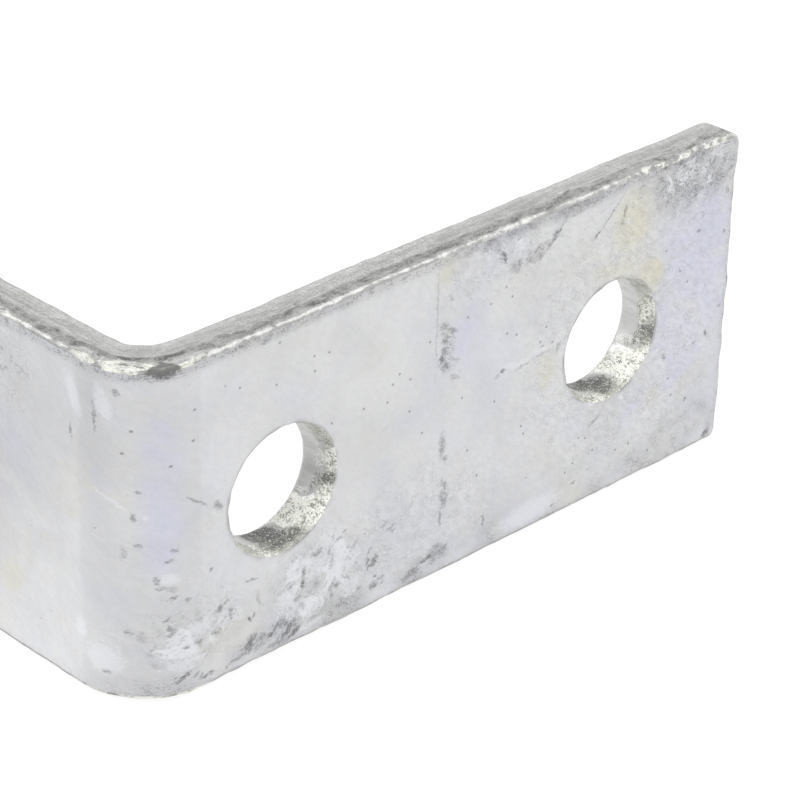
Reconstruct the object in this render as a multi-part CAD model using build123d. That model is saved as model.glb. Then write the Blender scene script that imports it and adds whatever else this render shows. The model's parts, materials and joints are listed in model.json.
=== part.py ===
from build123d import *
import os

# U bracket for strut channel: one flat steel bar, punched with five holes, folded into a hat
# shape and then galvanised. Millimetres. +X runs along the two wings, +Y is the depth of the
# U and +Z is the bar's width. The bracket stands on one long edge of the bar, at Z = 0. The
# wings' undersides share one plane at the lowest Y, and the bridge that closes the U is at
# the highest Y. The origin is the middle of the bounding box's base.

# The flat bar
BAR_WIDTH = 40.0
BAR_THICKNESS = 5.0
EDGE_RADIUS = 0.8  # rounding of the bar's long edges and of its sheared ends
END_CORNER_RADIUS = 1.3  # corners of the bar's ends, seen square on to its broad side

# The folds
CHANNEL_WIDTH = 42.0  # between the two walls: a 41 mm strut with clearance
CHANNEL_DEPTH = 41.0  # from the plane of the wings' undersides to the bridge
FOLD_INNER_RADIUS = 3.0

# The holes. The punch enters on the outside of the hat and breaks out on its inside.
HOLE_RADIUS = 7.0
HOLE_WALL_DISTANCE = 20.0  # from a wall's inner face to the centre of its wing's first hole
HOLE_PITCH = 50.0  # between the two holes of a wing
HOLE_END_DISTANCE = 20.0  # from the second hole's centre to the end of the wing
ENTRY_RADIUS = 0.6  # edge that the punch draws in where it enters
BREAKOUT_GROWTH = 0.5  # added to the hole's radius where the punch breaks out
BREAKOUT_DEPTH = 2.0  # length of the flared part of the hole's wall
PUNCH_OVERSHOOT = 1.0  # how far the punch's solid stands out of the bar on each side

# Places that follow from the sizes above
FULL_DEPTH = CHANNEL_DEPTH + BAR_THICKNESS
BRIDGE_OUTSIDE_Y = FULL_DEPTH / 2
UNDERSIDE_Y = -FULL_DEPTH / 2
WING_TOP_Y = UNDERSIDE_Y + BAR_THICKNESS
INNER_HOLE_X = CHANNEL_WIDTH / 2 + HOLE_WALL_DISTANCE
OUTER_HOLE_X = INNER_HOLE_X + HOLE_PITCH
WING_END_X = OUTER_HOLE_X + HOLE_END_DISTANCE


def folded_bar():
    """The bar with square edges: a line down the middle of its thickness, given that thickness."""
    wall_x = (CHANNEL_WIDTH + BAR_THICKNESS) / 2
    wing_y = UNDERSIDE_Y + BAR_THICKNESS / 2
    bridge_y = BRIDGE_OUTSIDE_Y - BAR_THICKNESS / 2
    middle_line = FilletPolyline(
        (-WING_END_X, wing_y),
        (-wall_x, wing_y),
        (-wall_x, bridge_y),
        (wall_x, bridge_y),
        (wall_x, wing_y),
        (WING_END_X, wing_y),
        radius=FOLD_INNER_RADIUS + BAR_THICKNESS / 2,
    )
    return extrude(trace(middle_line, BAR_THICKNESS), BAR_WIDTH)


def on_bar_end(edge):
    """True for an edge that lies on the sheared end of either wing."""
    return abs(abs(edge.center().X) - WING_END_X) < 0.01


def round_the_rim(bar):
    """Rounds the four corners of the ends, then the rim of both broad sides.

    With its corners round, each broad side's rim is one smooth chain of edges: down one long
    edge, round an end and back up the other. Filleting its two end edges fillets all of it.
    """
    corners = bar.edges().filter_by(Axis.Y).filter_by(on_bar_end)
    bar = fillet(corners, END_CORNER_RADIUS)
    end_edges = bar.edges().filter_by(Axis.Z).filter_by(on_bar_end)
    return fillet(end_edges, EDGE_RADIUS)


def punch():
    """What one punched hole removes, about the Y axis, entering at Y = 0 towards -Y."""
    entry_mouth = HOLE_RADIUS + ENTRY_RADIUS
    exit_mouth = HOLE_RADIUS + BREAKOUT_GROWTH
    entry_edge = RadiusArc((entry_mouth, 0), (HOLE_RADIUS, -ENTRY_RADIUS), -ENTRY_RADIUS)
    rest_of_outline = Polyline(
        entry_edge @ 1,
        (HOLE_RADIUS, BREAKOUT_DEPTH - BAR_THICKNESS),
        (exit_mouth, -BAR_THICKNESS),
        (exit_mouth, -BAR_THICKNESS - PUNCH_OVERSHOOT),
        (0, -BAR_THICKNESS - PUNCH_OVERSHOOT),
        (0, PUNCH_OVERSHOOT),
        (entry_mouth, PUNCH_OVERSHOOT),
        entry_edge @ 0,
    )
    return revolve(make_face(entry_edge + rest_of_outline), Axis.Y)


def hole_places():
    """Where each hole's axis meets the side that the punch enters: two per wing, one in the bridge."""
    places = [(0, BRIDGE_OUTSIDE_Y, BAR_WIDTH / 2)]
    for side in (-1, 1):
        for distance in (INNER_HOLE_X, OUTER_HOLE_X):
            places.append((side * distance, WING_TOP_Y, BAR_WIDTH / 2))
    return places


bracket = round_the_rim(folded_bar())
for place in hole_places():
    bracket -= Pos(place) * punch()

os.makedirs("parts", exist_ok=True)
export_step(bracket, "parts/bracket.step")
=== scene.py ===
"""Looks of the hot-dip galvanised U bracket: its zinc coat, its edges and its punched holes.

The bracket is one flat bar, so its surface is built flat, in millimetres along the bar, across
it and through its thickness, and then folded. Wear is painted on the flat bar in the same way,
and so is painted light: a lighter coat inside the U, and a painted highlight and a painted dark
reflection in the holes' walls.
"""

import json
import logging
import math
from dataclasses import dataclass, field
from enum import Enum, IntEnum
from typing import Any, Sequence

import bpy
import numpy as np
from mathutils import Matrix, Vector, noise

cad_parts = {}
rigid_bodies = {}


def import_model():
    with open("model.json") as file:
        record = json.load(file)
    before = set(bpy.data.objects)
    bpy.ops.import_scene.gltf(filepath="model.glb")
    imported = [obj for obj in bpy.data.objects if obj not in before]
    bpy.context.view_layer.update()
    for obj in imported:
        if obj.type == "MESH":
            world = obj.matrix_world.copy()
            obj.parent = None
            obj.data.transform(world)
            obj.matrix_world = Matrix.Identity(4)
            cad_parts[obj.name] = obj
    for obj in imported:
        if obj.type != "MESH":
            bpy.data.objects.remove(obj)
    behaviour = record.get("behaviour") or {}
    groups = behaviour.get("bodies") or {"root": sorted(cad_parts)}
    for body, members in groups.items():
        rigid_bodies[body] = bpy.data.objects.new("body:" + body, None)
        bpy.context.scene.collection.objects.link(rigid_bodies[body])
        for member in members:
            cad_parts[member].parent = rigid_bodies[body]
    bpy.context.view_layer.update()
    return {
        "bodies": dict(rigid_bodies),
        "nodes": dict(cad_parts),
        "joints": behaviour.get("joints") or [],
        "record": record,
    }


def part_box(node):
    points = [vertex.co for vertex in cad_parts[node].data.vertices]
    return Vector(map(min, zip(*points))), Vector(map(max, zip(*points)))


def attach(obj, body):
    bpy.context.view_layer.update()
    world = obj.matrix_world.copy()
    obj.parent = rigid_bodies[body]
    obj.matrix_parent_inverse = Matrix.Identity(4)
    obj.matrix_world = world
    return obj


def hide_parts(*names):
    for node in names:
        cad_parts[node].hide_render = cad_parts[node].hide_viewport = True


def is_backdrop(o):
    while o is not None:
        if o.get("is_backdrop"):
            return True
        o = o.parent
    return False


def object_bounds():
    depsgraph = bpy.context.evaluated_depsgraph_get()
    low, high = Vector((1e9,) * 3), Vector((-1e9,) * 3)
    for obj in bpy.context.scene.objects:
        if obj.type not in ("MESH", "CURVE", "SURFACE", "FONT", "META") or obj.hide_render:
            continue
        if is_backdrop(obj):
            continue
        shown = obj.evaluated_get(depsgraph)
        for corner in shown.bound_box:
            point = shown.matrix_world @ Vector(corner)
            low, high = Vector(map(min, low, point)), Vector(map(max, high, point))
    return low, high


LOG = logging.getLogger("u_bracket")
MM = 0.001

Colour = tuple[float, float, float]
Socket = Any


def ease(low: float, high: float, value: np.ndarray) -> np.ndarray:
    """Rises smoothly from 0 to 1.

    Args:
        low: Where the rise starts. It may be above high, and then the result falls.
        high: Where the rise ends.
        value: What is tested.

    Returns:
        Values from 0 to 1, as many as were given.
    """
    part = np.clip((value - low) / (high - low), 0.0, 1.0)
    return part * part * (3.0 - 2.0 * part)


def lumps(points: np.ndarray, size: float, lot: float) -> np.ndarray:
    """Smooth random lumps, the same on every run.

    Args:
        points: Places in millimetres, one row each.
        size: Width of a lump in millimetres.
        lot: Picks one pattern out of many.

    Returns:
        A value for each place, from about -1 to 1.
    """
    scaled = points / size + np.array((lot * 17.3, lot * 5.9, lot * 11.1))
    return np.fromiter((noise.noise(Vector(row)) for row in scaled), float, len(scaled)) * 1.6


class Zone(IntEnum):
    """The parts of the bracket's surface, each with its own finish."""

    INSIDE = 0
    OUTSIDE = 1
    EDGE = 2
    BORE = 3


class Wear(Enum):
    """What a painted patch does to the coat."""

    VIOLET = "violet"
    CREAM = "cream"
    FLAKY = "flaky"
    SCUFFED = "scuffed"
    HATCHED = "hatched"
    CRINKLED = "crinkled"
    PITTED = "pitted"


@dataclass(frozen=True)
class FoldPlan:
    """How the flat bar folds into the hat, in millimetres.

    A point of the flat bar has a run along the bar's middle line from the middle of the
    bridge, a rise across the bar's width, and a height off the middle line. The height is
    positive on the outside of the hat, where the punch enters.
    """

    wing_end: float
    depth: float
    width: float
    channel_width: float = 42.0
    thickness: float = 5.0
    inner_radius: float = 3.0

    @property
    def middle_radius(self) -> float:
        """Radius of the middle line in a fold."""
        return self.inner_radius + self.thickness / 2

    @property
    def fold_run(self) -> float:
        """Length of the middle line in a fold."""
        return self.middle_radius * math.pi / 2

    @property
    def bridge_run(self) -> float:
        """Where the flat of the bridge ends."""
        return self.channel_width / 2 - self.inner_radius

    @property
    def wall_run(self) -> float:
        """Where the flat of a wall starts."""
        return self.bridge_run + self.fold_run

    @property
    def wall_flat(self) -> float:
        """Length of a wall's flat."""
        return self.depth - 2 * (self.inner_radius + self.thickness)

    @property
    def root_run(self) -> float:
        """Where the flat of a wall ends and the fold at the wing's root starts."""
        return self.wall_run + self.wall_flat

    @property
    def wing_run(self) -> float:
        """Where the flat of a wing starts."""
        return self.root_run + self.fold_run

    @property
    def wing_start_x(self) -> float:
        """X at which the flat of a wing starts."""
        return self.channel_width / 2 + self.thickness + self.inner_radius

    @property
    def end_run(self) -> float:
        """Where a wing ends."""
        return self.wing_run + self.wing_end - self.wing_start_x

    def run_at_x(self, x: float) -> float:
        """Run of a point on the flat of the right wing, from its X."""
        return self.wing_run + x - self.wing_start_x

    def run_at_reach(self, reach: float) -> float:
        """Run of a place on the inside of the right half, as it is measured with a rule.

        Args:
            reach: Distance from the wall's inner face along the wing. Below zero it is the
                distance behind the wing's underside, up the wall.

        Returns:
            The run of that place.
        """
        outer = self.inner_radius + self.thickness
        if reach >= outer:
            return self.run_at_x(self.channel_width / 2 + reach)
        if reach >= 0:
            turn = math.acos(1 - reach / outer)
        elif reach > -outer:
            turn = math.asin(1 + reach / outer)
        else:
            return self.root_run + outer + reach
        return self.root_run + self.middle_radius * turn

    def fold(self, run: np.ndarray, rise: np.ndarray, height: np.ndarray) -> np.ndarray:
        """Folds points of the flat bar.

        Args:
            run: Runs of the points.
            rise: Rises of the points.
            height: Heights of the points.

        Returns:
            Their places in millimetres, one row each.
        """
        far = np.abs(run)
        middle = self.middle_radius
        upper = np.clip((far - self.bridge_run) / middle, 0.0, math.pi / 2)
        lower = np.clip((far - self.root_run) / middle, 0.0, math.pi / 2)
        bridge = np.minimum(far, self.bridge_run)
        wall = np.clip(far - self.wall_run, 0.0, self.wall_flat)
        wing = np.maximum(far - self.wing_run, 0.0)
        x = bridge + (middle + height * np.cos(lower)) * np.sin(upper)
        x += middle * (1 - np.cos(lower)) + wing
        y = self.depth / 2 - self.thickness / 2 - middle + (middle + height) * np.cos(upper)
        y -= wall + (middle - height) * np.sin(lower)
        return np.column_stack((np.copysign(x, run), y, rise))


@dataclass(frozen=True)
class Hole:
    """A punched hole: where its axis crosses the flat bar, and its wall from lip to lip."""

    run: float
    rise: float
    radius: float
    entry_radius: float = 0.6
    breakout_growth: float = 0.5
    breakout_depth: float = 2.0
    lip: float = 0.08

    def profile(self, half: float) -> list[tuple[float, float]]:
        """Radius and height of each ring of the wall.

        Args:
            half: Half the bar's thickness.

        Returns:
            The rings, from the one on the inside face to the one on the outside face.
        """
        mouth = self.radius + self.breakout_growth
        rings = [(mouth + self.lip, -half), (mouth + 0.3 * self.lip, 0.3 * self.lip - half)]
        for step in (0.13, 0.3, 0.48, 0.66, 0.84, 1.0):
            rings.append((mouth - self.breakout_growth * step, self.breakout_depth * step - half))
        top = half - self.entry_radius
        start = self.breakout_depth - half
        for step in (0.22, 0.42, 0.62, 0.81, 1.0):
            rings.append((self.radius, start + (top - start) * step))
        for turn in np.radians((22.5, 45.0, 67.5, 90.0)):
            spread = self.entry_radius * (1 - math.cos(turn))
            rings.append((self.radius + spread, top + self.entry_radius * math.sin(turn)))
        return rings


@dataclass(frozen=True)
class Patch:
    """A soft-edged oval of one kind of wear on the inside of the right half, in millimetres.

    Reach is the distance from the wall's inner face, or below zero the distance up the wall,
    and rise is the height above the edge that the bracket stands on. Turn is in degrees.
    """

    reach: float
    rise: float
    half_reach: float
    half_rise: float
    strength: float
    turn: float = 0.0


@dataclass(frozen=True)
class Mark:
    """A small mark, placed as a patch is.

    Depth is how dark its middle is. Up to 1, crumbs of bright zinc show through the mark.
    """

    reach: float
    rise: float
    half_length: float
    half_width: float
    turn: float = 0.0
    depth: float = 0.0


# How dark a mark is. A solid one has no crumbs in it.
FAINT, CLEAR, DEEP, SOLID = 0.36, 0.62, 0.92, 1.7

# Wear placed one by one on the inside of the right half
PATCHES: dict[Wear, tuple[Patch, ...]] = {
    Wear.VIOLET: (
        Patch(4.3, 25.0, 1.8, 9.0, 0.9),
        Patch(4.0, 20.0, 1.1, 4.0, 0.6),
        Patch(47.3, 28.5, 2.6, 4.8, 0.6),
        Patch(34.5, 16.5, 1.8, 1.6, 0.5),
        Patch(57.3, 2.3, 5.2, 1.8, 0.5),
        Patch(83.5, 21.0, 6.5, 14.5, 0.8),
        Patch(84.0, 29.5, 6.2, 5.2, 1.2),
        Patch(88.8, 20.0, 1.3, 13.0, 0.6),
        Patch(74.0, 10.0, 2.5, 3.2, 0.35),
        Patch(-6.5, 25.5, 1.6, 3.8, 0.4),
    ),
    Wear.CREAM: (
        Patch(43.2, 37.7, 1.3, 2.0, 0.7),
        Patch(59.5, 20.0, 1.6, 2.3, 0.7),
        Patch(72.6, 34.3, 3.1, 3.8, 1.3),
        Patch(70.7, 33.7, 0.9, 0.9, 0.5),
        Patch(76.0, 26.3, 2.6, 2.2, 1.15, -30.0),
        Patch(70.5, 28.9, 4.0, 1.1, 0.6, -8.0),
        Patch(12.5, 5.0, 4.6, 2.2, 0.3),
        Patch(78.0, 10.0, 1.2, 1.2, 0.5),
    ),
    Wear.FLAKY: (
        Patch(9.0, 7.5, 6.0, 5.0, 0.6),
        Patch(25.0, 7.0, 6.8, 5.6, 0.9),
        Patch(55.3, 37.2, 3.0, 1.5, 0.6),
        Patch(82.5, 36.8, 8.5, 3.4, 0.5),
    ),
    Wear.SCUFFED: (
        Patch(43.6, 28.3, 1.9, 4.2, 0.88),
        Patch(45.0, 26.4, 1.4, 2.8, 0.7, 20.0),
        Patch(43.3, 16.7, 0.7, 1.7, 0.9),
        Patch(43.7, 14.6, 0.8, 0.9, 0.8),
        Patch(44.0, 10.2, 1.1, 2.2, 0.8),
        Patch(43.1, 9.2, 0.8, 1.1, 0.6),
        Patch(43.2, 7.2, 0.5, 1.2, 0.5),
        Patch(42.6, 3.0, 2.8, 1.6, 0.9),
        Patch(38.8, 1.8, 2.6, 1.2, 0.8),
        Patch(51.6, 37.0, 0.9, 2.2, 0.8, 12.0),
        Patch(53.9, 34.9, 1.9, 1.1, 0.82, -12.0),
        Patch(57.2, 35.0, 2.2, 1.2, 0.82, 8.0),
        Patch(60.0, 36.6, 1.8, 0.8, 0.8, 42.0),
        Patch(16.0, 39.0, 3.2, 1.2, 1.0),
        Patch(52.0, 38.9, 9.0, 1.4, 0.75),
        Patch(63.5, 39.0, 4.5, 1.3, 1.0),
        Patch(80.5, 39.6, 0.9, 0.7, 1.0),
    ),
    Wear.HATCHED: (
        Patch(20.2, 2.6, 2.6, 2.2, 1.2, -20.0),
        Patch(16.0, 2.6, 1.8, 1.6, 1.15, -20.0),
        Patch(19.0, 1.1, 3.6, 1.0, 0.9),
        Patch(14.6, 1.2, 1.6, 0.9, 0.85),
        Patch(6.0, 2.8, 1.1, 0.9, 0.8),
        Patch(8.2, 2.0, 1.2, 0.9, 0.9),
        Patch(12.0, 1.2, 2.0, 0.8, 0.7),
        Patch(33.5, 2.6, 1.8, 1.0, 0.8),
        Patch(32.6, 10.4, 1.6, 1.4, 0.9),
        Patch(32.8, 6.0, 1.5, 1.4, 0.85),
        Patch(36.2, 9.2, 1.1, 1.5, 0.7),
        Patch(22.8, 8.0, 0.7, 1.6, 0.85),
        Patch(24.6, 10.2, 1.4, 0.7, 0.7),
        Patch(27.4, 11.6, 0.8, 1.7, 0.7),
        Patch(13.5, 7.6, 1.2, 2.0, 0.6),
        Patch(10.0, 12.6, 2.4, 0.9, 0.6),
        Patch(5.0, 12.3, 1.6, 0.8, 0.7, -30.0),
        Patch(79.0, 37.4, 2.0, 1.3, 0.45),
        Patch(82.5, 35.2, 2.6, 0.9, 0.5),
        Patch(86.6, 35.0, 2.0, 1.0, 0.5, 20.0),
        Patch(84.3, 37.8, 0.8, 1.6, 0.5),
        Patch(88.6, 36.5, 0.8, 2.2, 0.5),
        Patch(3.8, 39.2, 2.6, 0.7, 0.8),
    ),
    Wear.CRINKLED: (
        Patch(73.0, 20.0, 19.0, 21.0, 0.7),
        Patch(52.0, 36.0, 13.0, 4.5, 0.6),
        Patch(83.0, 35.0, 8.0, 6.0, 0.9),
        Patch(24.0, 7.0, 9.0, 8.0, 0.5),
        Patch(40.0, 8.0, 14.0, 8.0, 0.6),
        Patch(8.0, 8.0, 7.0, 6.0, 0.4),
        Patch(80.0, 40.0, 9.5, 4.0, 1.0),
    ),
    Wear.PITTED: (
        Patch(83.0, 36.6, 8.5, 4.2, 1.1),
        Patch(75.5, 38.5, 4.5, 2.0, 0.9),
        Patch(60.0, 39.2, 16.0, 1.5, 0.9),
        Patch(20.0, 39.4, 16.0, 1.1, 0.8),
        Patch(25.0, 6.0, 9.0, 7.0, 0.5),
        Patch(9.0, 7.0, 7.0, 6.0, 0.45),
        Patch(18.0, 2.4, 7.0, 2.4, 0.8),
        Patch(43.0, 2.5, 7.0, 2.2, 0.6),
        Patch(62.0, 5.0, 4.0, 3.0, 0.2),
        Patch(89.0, 20.0, 1.2, 20.0, 0.2),
        Patch(84.0, 3.5, 8.0, 4.0, 0.75),
    ),
}
DARK_MARKS = (
    Mark(4.5, 39.5, 1.10, 0.85, -14.0, SOLID),
    Mark(8.2, 23.3, 1.7, 0.13, -38.0, CLEAR),
    Mark(11.0, 21.7, 0.8, 0.50, -50.0, CLEAR),
    Mark(5.5, 18.4, 0.30, 0.20, -25.0, CLEAR),
    Mark(4.9, 17.2, 0.42, 0.26, 12.0, CLEAR),
    Mark(3.7, 15.1, 0.30, 0.50, 15.0, CLEAR),
    Mark(4.1, 14.1, 0.34, 0.30, -30.0, CLEAR),
    Mark(5.1, 13.8, 0.60, 0.34, -40.0, FAINT),
    Mark(5.4, 12.7, 0.36, 0.24, 35.0, CLEAR),
    Mark(6.9, 12.0, 0.30, 0.30, 0.0, CLEAR),
    Mark(10.0, 14.4, 0.30, 0.24, -15.0, CLEAR),
    Mark(4.6, 10.2, 0.40, 0.18, 60.0, CLEAR),
    Mark(4.9, 9.0, 0.30, 0.40, 0.0, CLEAR),
    Mark(4.9, 8.3, 0.30, 0.26, 25.0, CLEAR),
    Mark(6.7, 6.3, 0.34, 0.28, -25.0, CLEAR),
    Mark(8.3, 6.3, 0.40, 0.34, -10.0, CLEAR),
    Mark(2.4, 8.3, 0.30, 0.60, 10.0, FAINT),
    Mark(1.6, 8.8, 0.30, 0.30, 0.0, CLEAR),
    Mark(3.8, 4.7, 0.80, 0.40, -30.0, FAINT),
    Mark(6.4, 2.5, 0.85, 0.28, 45.0, DEEP),
    Mark(7.9, 2.2, 0.50, 0.24, 45.0, CLEAR),
    Mark(9.4, 1.5, 0.95, 0.32, 5.0, DEEP),
    Mark(11.2, 9.2, 0.30, 0.50, 0.0, CLEAR),
    Mark(12.1, 9.6, 0.50, 0.24, 10.0, CLEAR),
    Mark(12.7, 7.8, 0.22, 0.90, 0.0, CLEAR),
    Mark(10.8, 6.4, 0.50, 0.18, 10.0, CLEAR),
    Mark(15.3, 6.2, 0.50, 0.22, -50.0, DEEP),
    Mark(15.9, 6.4, 0.32, 0.18, 60.0, CLEAR),
    Mark(15.6, 10.8, 0.95, 0.17, -12.0, CLEAR),
    Mark(16.6, 7.9, 0.18, 1.40, 5.0, FAINT),
    Mark(13.6, 1.7, 1.35, 0.34, 10.0, CLEAR),
    Mark(15.5, 2.9, 0.45, 0.95, -15.0, DEEP),
    Mark(17.0, 3.1, 0.60, 0.45, 20.0, CLEAR),
    Mark(18.2, 2.7, 0.50, 0.40, 30.0, DEEP),
    Mark(19.1, 3.5, 1.15, 0.24, 48.0, CLEAR),
    Mark(20.7, 2.4, 1.45, 0.30, 48.0, DEEP),
    Mark(21.8, 1.6, 0.90, 0.34, 35.0, DEEP),
    Mark(18.6, 1.1, 1.20, 0.30, 8.0, CLEAR),
    Mark(21.7, 3.1, 0.30, 0.30, 0.0, CLEAR),
    Mark(22.9, 7.4, 0.34, 0.70, 0.0, DEEP),
    Mark(23.0, 8.6, 0.28, 0.55, 0.0, CLEAR),
    Mark(22.1, 5.8, 0.55, 0.34, 60.0, CLEAR),
    Mark(22.9, 4.4, 0.45, 0.65, 0.0, FAINT),
    Mark(24.9, 6.3, 0.60, 0.55, 0.0, FAINT),
    Mark(24.8, 10.2, 0.55, 0.26, 0.0, CLEAR),
    Mark(27.1, 8.4, 0.34, 1.10, -8.0, FAINT),
    Mark(27.8, 5.1, 0.42, 0.38, 0.0, CLEAR),
    Mark(27.0, 4.2, 0.50, 0.20, -55.0, CLEAR),
    Mark(26.2, 4.0, 0.34, 0.34, 0.0, FAINT),
    Mark(29.0, 11.5, 0.26, 0.22, 0.0, CLEAR),
    Mark(30.4, 9.1, 0.90, 0.20, 45.0, FAINT),
    Mark(30.8, 6.7, 0.22, 0.20, 0.0, CLEAR),
    Mark(31.2, 3.2, 0.30, 0.28, 0.0, CLEAR),
    Mark(32.6, 7.4, 0.60, 0.20, 50.0, CLEAR),
    Mark(33.3, 5.8, 0.90, 0.50, 50.0, DEEP),
    Mark(33.5, 3.7, 0.24, 0.22, 0.0, DEEP),
    Mark(34.4, 3.2, 0.70, 0.16, 0.0, CLEAR),
    Mark(33.4, 2.7, 0.65, 0.45, 0.0, CLEAR),
    Mark(34.8, 9.9, 0.70, 0.20, 20.0, FAINT),
    Mark(35.5, 9.0, 0.24, 0.20, 0.0, CLEAR),
    Mark(39.3, 2.2, 1.00, 0.26, 14.0, CLEAR),
    Mark(41.3, 2.8, 1.20, 0.30, 12.0, DEEP),
    Mark(43.0, 3.2, 1.50, 0.80, 10.0, FAINT),
    Mark(39.2, 1.7, 1.30, 0.40, 10.0, CLEAR),
    Mark(43.8, 3.2, 1.10, 0.24, 8.0, CLEAR),
    Mark(42.0, 33.0, 0.14, 7.0, 0.0, FAINT),
    Mark(44.2, 34.1, 0.50, 0.20, -45.0, FAINT),
    Mark(43.1, 31.1, 0.80, 0.50, -40.0, CLEAR),
    Mark(44.5, 30.2, 0.90, 0.24, -35.0, FAINT),
    Mark(43.2, 29.3, 0.48, 0.42, -30.0, CLEAR),
    Mark(43.1, 28.2, 0.50, 0.50, -40.0, CLEAR),
    Mark(42.8, 27.2, 0.32, 0.55, 0.0, DEEP),
    Mark(43.6, 26.1, 0.85, 0.42, -35.0, CLEAR),
    Mark(44.9, 26.6, 0.90, 0.18, -25.0, FAINT),
    Mark(44.8, 24.4, 0.90, 0.34, -22.0, FAINT),
    Mark(43.3, 16.4, 0.42, 1.60, 0.0, CLEAR),
    Mark(43.5, 11.7, 0.35, 0.80, 0.0, FAINT),
    Mark(43.7, 9.6, 0.55, 1.20, 15.0, CLEAR),
    Mark(43.3, 7.2, 0.26, 1.10, 0.0, CLEAR),
    Mark(43.8, 14.6, 0.35, 0.45, 0.0, CLEAR),
    Mark(44.0, 10.8, 0.24, 0.80, 0.0, CLEAR),
    Mark(50.2, 4.3, 0.22, 0.80, 10.0, CLEAR),
    Mark(50.9, 38.0, 0.50, 0.90, 15.0, FAINT),
    Mark(52.1, 36.4, 1.00, 0.26, -72.0, DEEP),
    Mark(53.7, 34.6, 1.10, 0.75, -15.0, FAINT),
    Mark(54.5, 34.9, 0.30, 0.60, 0.0, CLEAR),
    Mark(55.6, 35.2, 0.65, 0.18, 50.0, CLEAR),
    Mark(56.8, 34.9, 1.30, 0.95, 0.0, FAINT),
    Mark(57.2, 35.7, 0.80, 0.20, 45.0, CLEAR),
    Mark(58.4, 36.0, 0.90, 0.36, 10.0, FAINT),
    Mark(59.3, 35.7, 0.90, 0.28, 45.0, CLEAR),
    Mark(60.4, 36.8, 1.00, 0.26, 42.0, CLEAR),
    Mark(61.4, 38.0, 0.90, 0.30, 45.0, FAINT),
    Mark(52.4, 22.4, 0.36, 0.28, 40.0, DEEP),
    Mark(51.7, 21.9, 0.34, 0.30, 0.0, FAINT),
    Mark(55.6, 21.9, 1.30, 0.15, 10.0, FAINT),
    Mark(58.6, 22.3, 1.40, 0.15, 4.0, FAINT),
    Mark(58.8, 23.2, 0.34, 0.16, 0.0, CLEAR),
    Mark(61.2, 22.2, 0.26, 0.60, 0.0, CLEAR),
    Mark(61.5, 1.6, 0.40, 0.16, 10.0, CLEAR),
    Mark(65.0, 3.4, 0.55, 0.16, 20.0, CLEAR),
    Mark(68.0, 10.3, 1.0, 0.18, 20.0, CLEAR),
    Mark(66.9, 34.3, 0.50, 0.20, 35.0, DEEP),
    Mark(69.0, 36.2, 2.9, 0.12, 45.0, CLEAR),
    Mark(70.9, 34.6, 0.28, 0.45, 15.0, CLEAR),
    Mark(71.2, 35.8, 0.24, 0.80, -12.0, CLEAR),
    Mark(77.0, 38.0, 0.40, 0.26, 30.0, CLEAR),
    Mark(77.7, 39.3, 0.50, 0.30, 0.0, DEEP),
    Mark(80.3, 39.2, 0.60, 0.40, 20.0, DEEP),
    Mark(81.4, 39.2, 0.40, 0.28, 10.0, CLEAR),
    Mark(80.9, 38.5, 0.40, 0.28, -20.0, CLEAR),
    Mark(79.5, 14.5, 0.22, 0.50, 15.0, CLEAR),
    Mark(83.4, 34.8, 0.90, 0.40, -20.0, FAINT),
    Mark(83.0, 34.0, 0.70, 0.16, 10.0, CLEAR),
    Mark(85.8, 37.4, 0.80, 0.18, 62.0, CLEAR),
    Mark(85.8, 34.6, 0.24, 0.24, 0.0, CLEAR),
    Mark(84.2, 29.3, 0.24, 0.30, 0.0, CLEAR),
    Mark(84.1, 39.0, 0.34, 0.30, 0.0, CLEAR),
    Mark(83.8, 7.4, 0.32, 0.26, 0.0, DEEP),
    Mark(83.0, 14.7, 0.24, 0.20, 0.0, CLEAR),
    Mark(84.8, 14.6, 0.24, 0.22, 0.0, CLEAR),
    Mark(86.7, 15.2, 0.30, 0.46, 30.0, DEEP),
    Mark(88.9, 35.7, 0.45, 0.35, 10.0, CLEAR),
    Mark(88.6, 33.0, 0.32, 0.45, 0.0, CLEAR),
    Mark(88.6, 27.7, 0.34, 0.40, 0.0, CLEAR),
    Mark(88.8, 18.1, 0.30, 0.32, 0.0, CLEAR),
    Mark(88.2, 1.2, 0.8, 0.48, 30.0, DEEP),
    Mark(-4.0, 37.0, 0.30, 0.45, 0.0, CLEAR),
    Mark(-6.3, 33.5, 0.16, 1.60, 0.0, CLEAR),
    Mark(-9.8, 30.5, 0.18, 1.10, 10.0, CLEAR),
    Mark(-2.2, 25.6, 0.30, 0.25, 0.0, CLEAR),
    Mark(-2.7, 22.6, 0.25, 0.50, 0.0, CLEAR),
    Mark(-2.4, 19.3, 0.30, 0.25, 0.0, CLEAR),
    Mark(-3.6, 18.3, 0.22, 0.80, 0.0, FAINT),
    Mark(-5.5, 3.4, 0.40, 0.30, 0.0, CLEAR),
)
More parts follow.
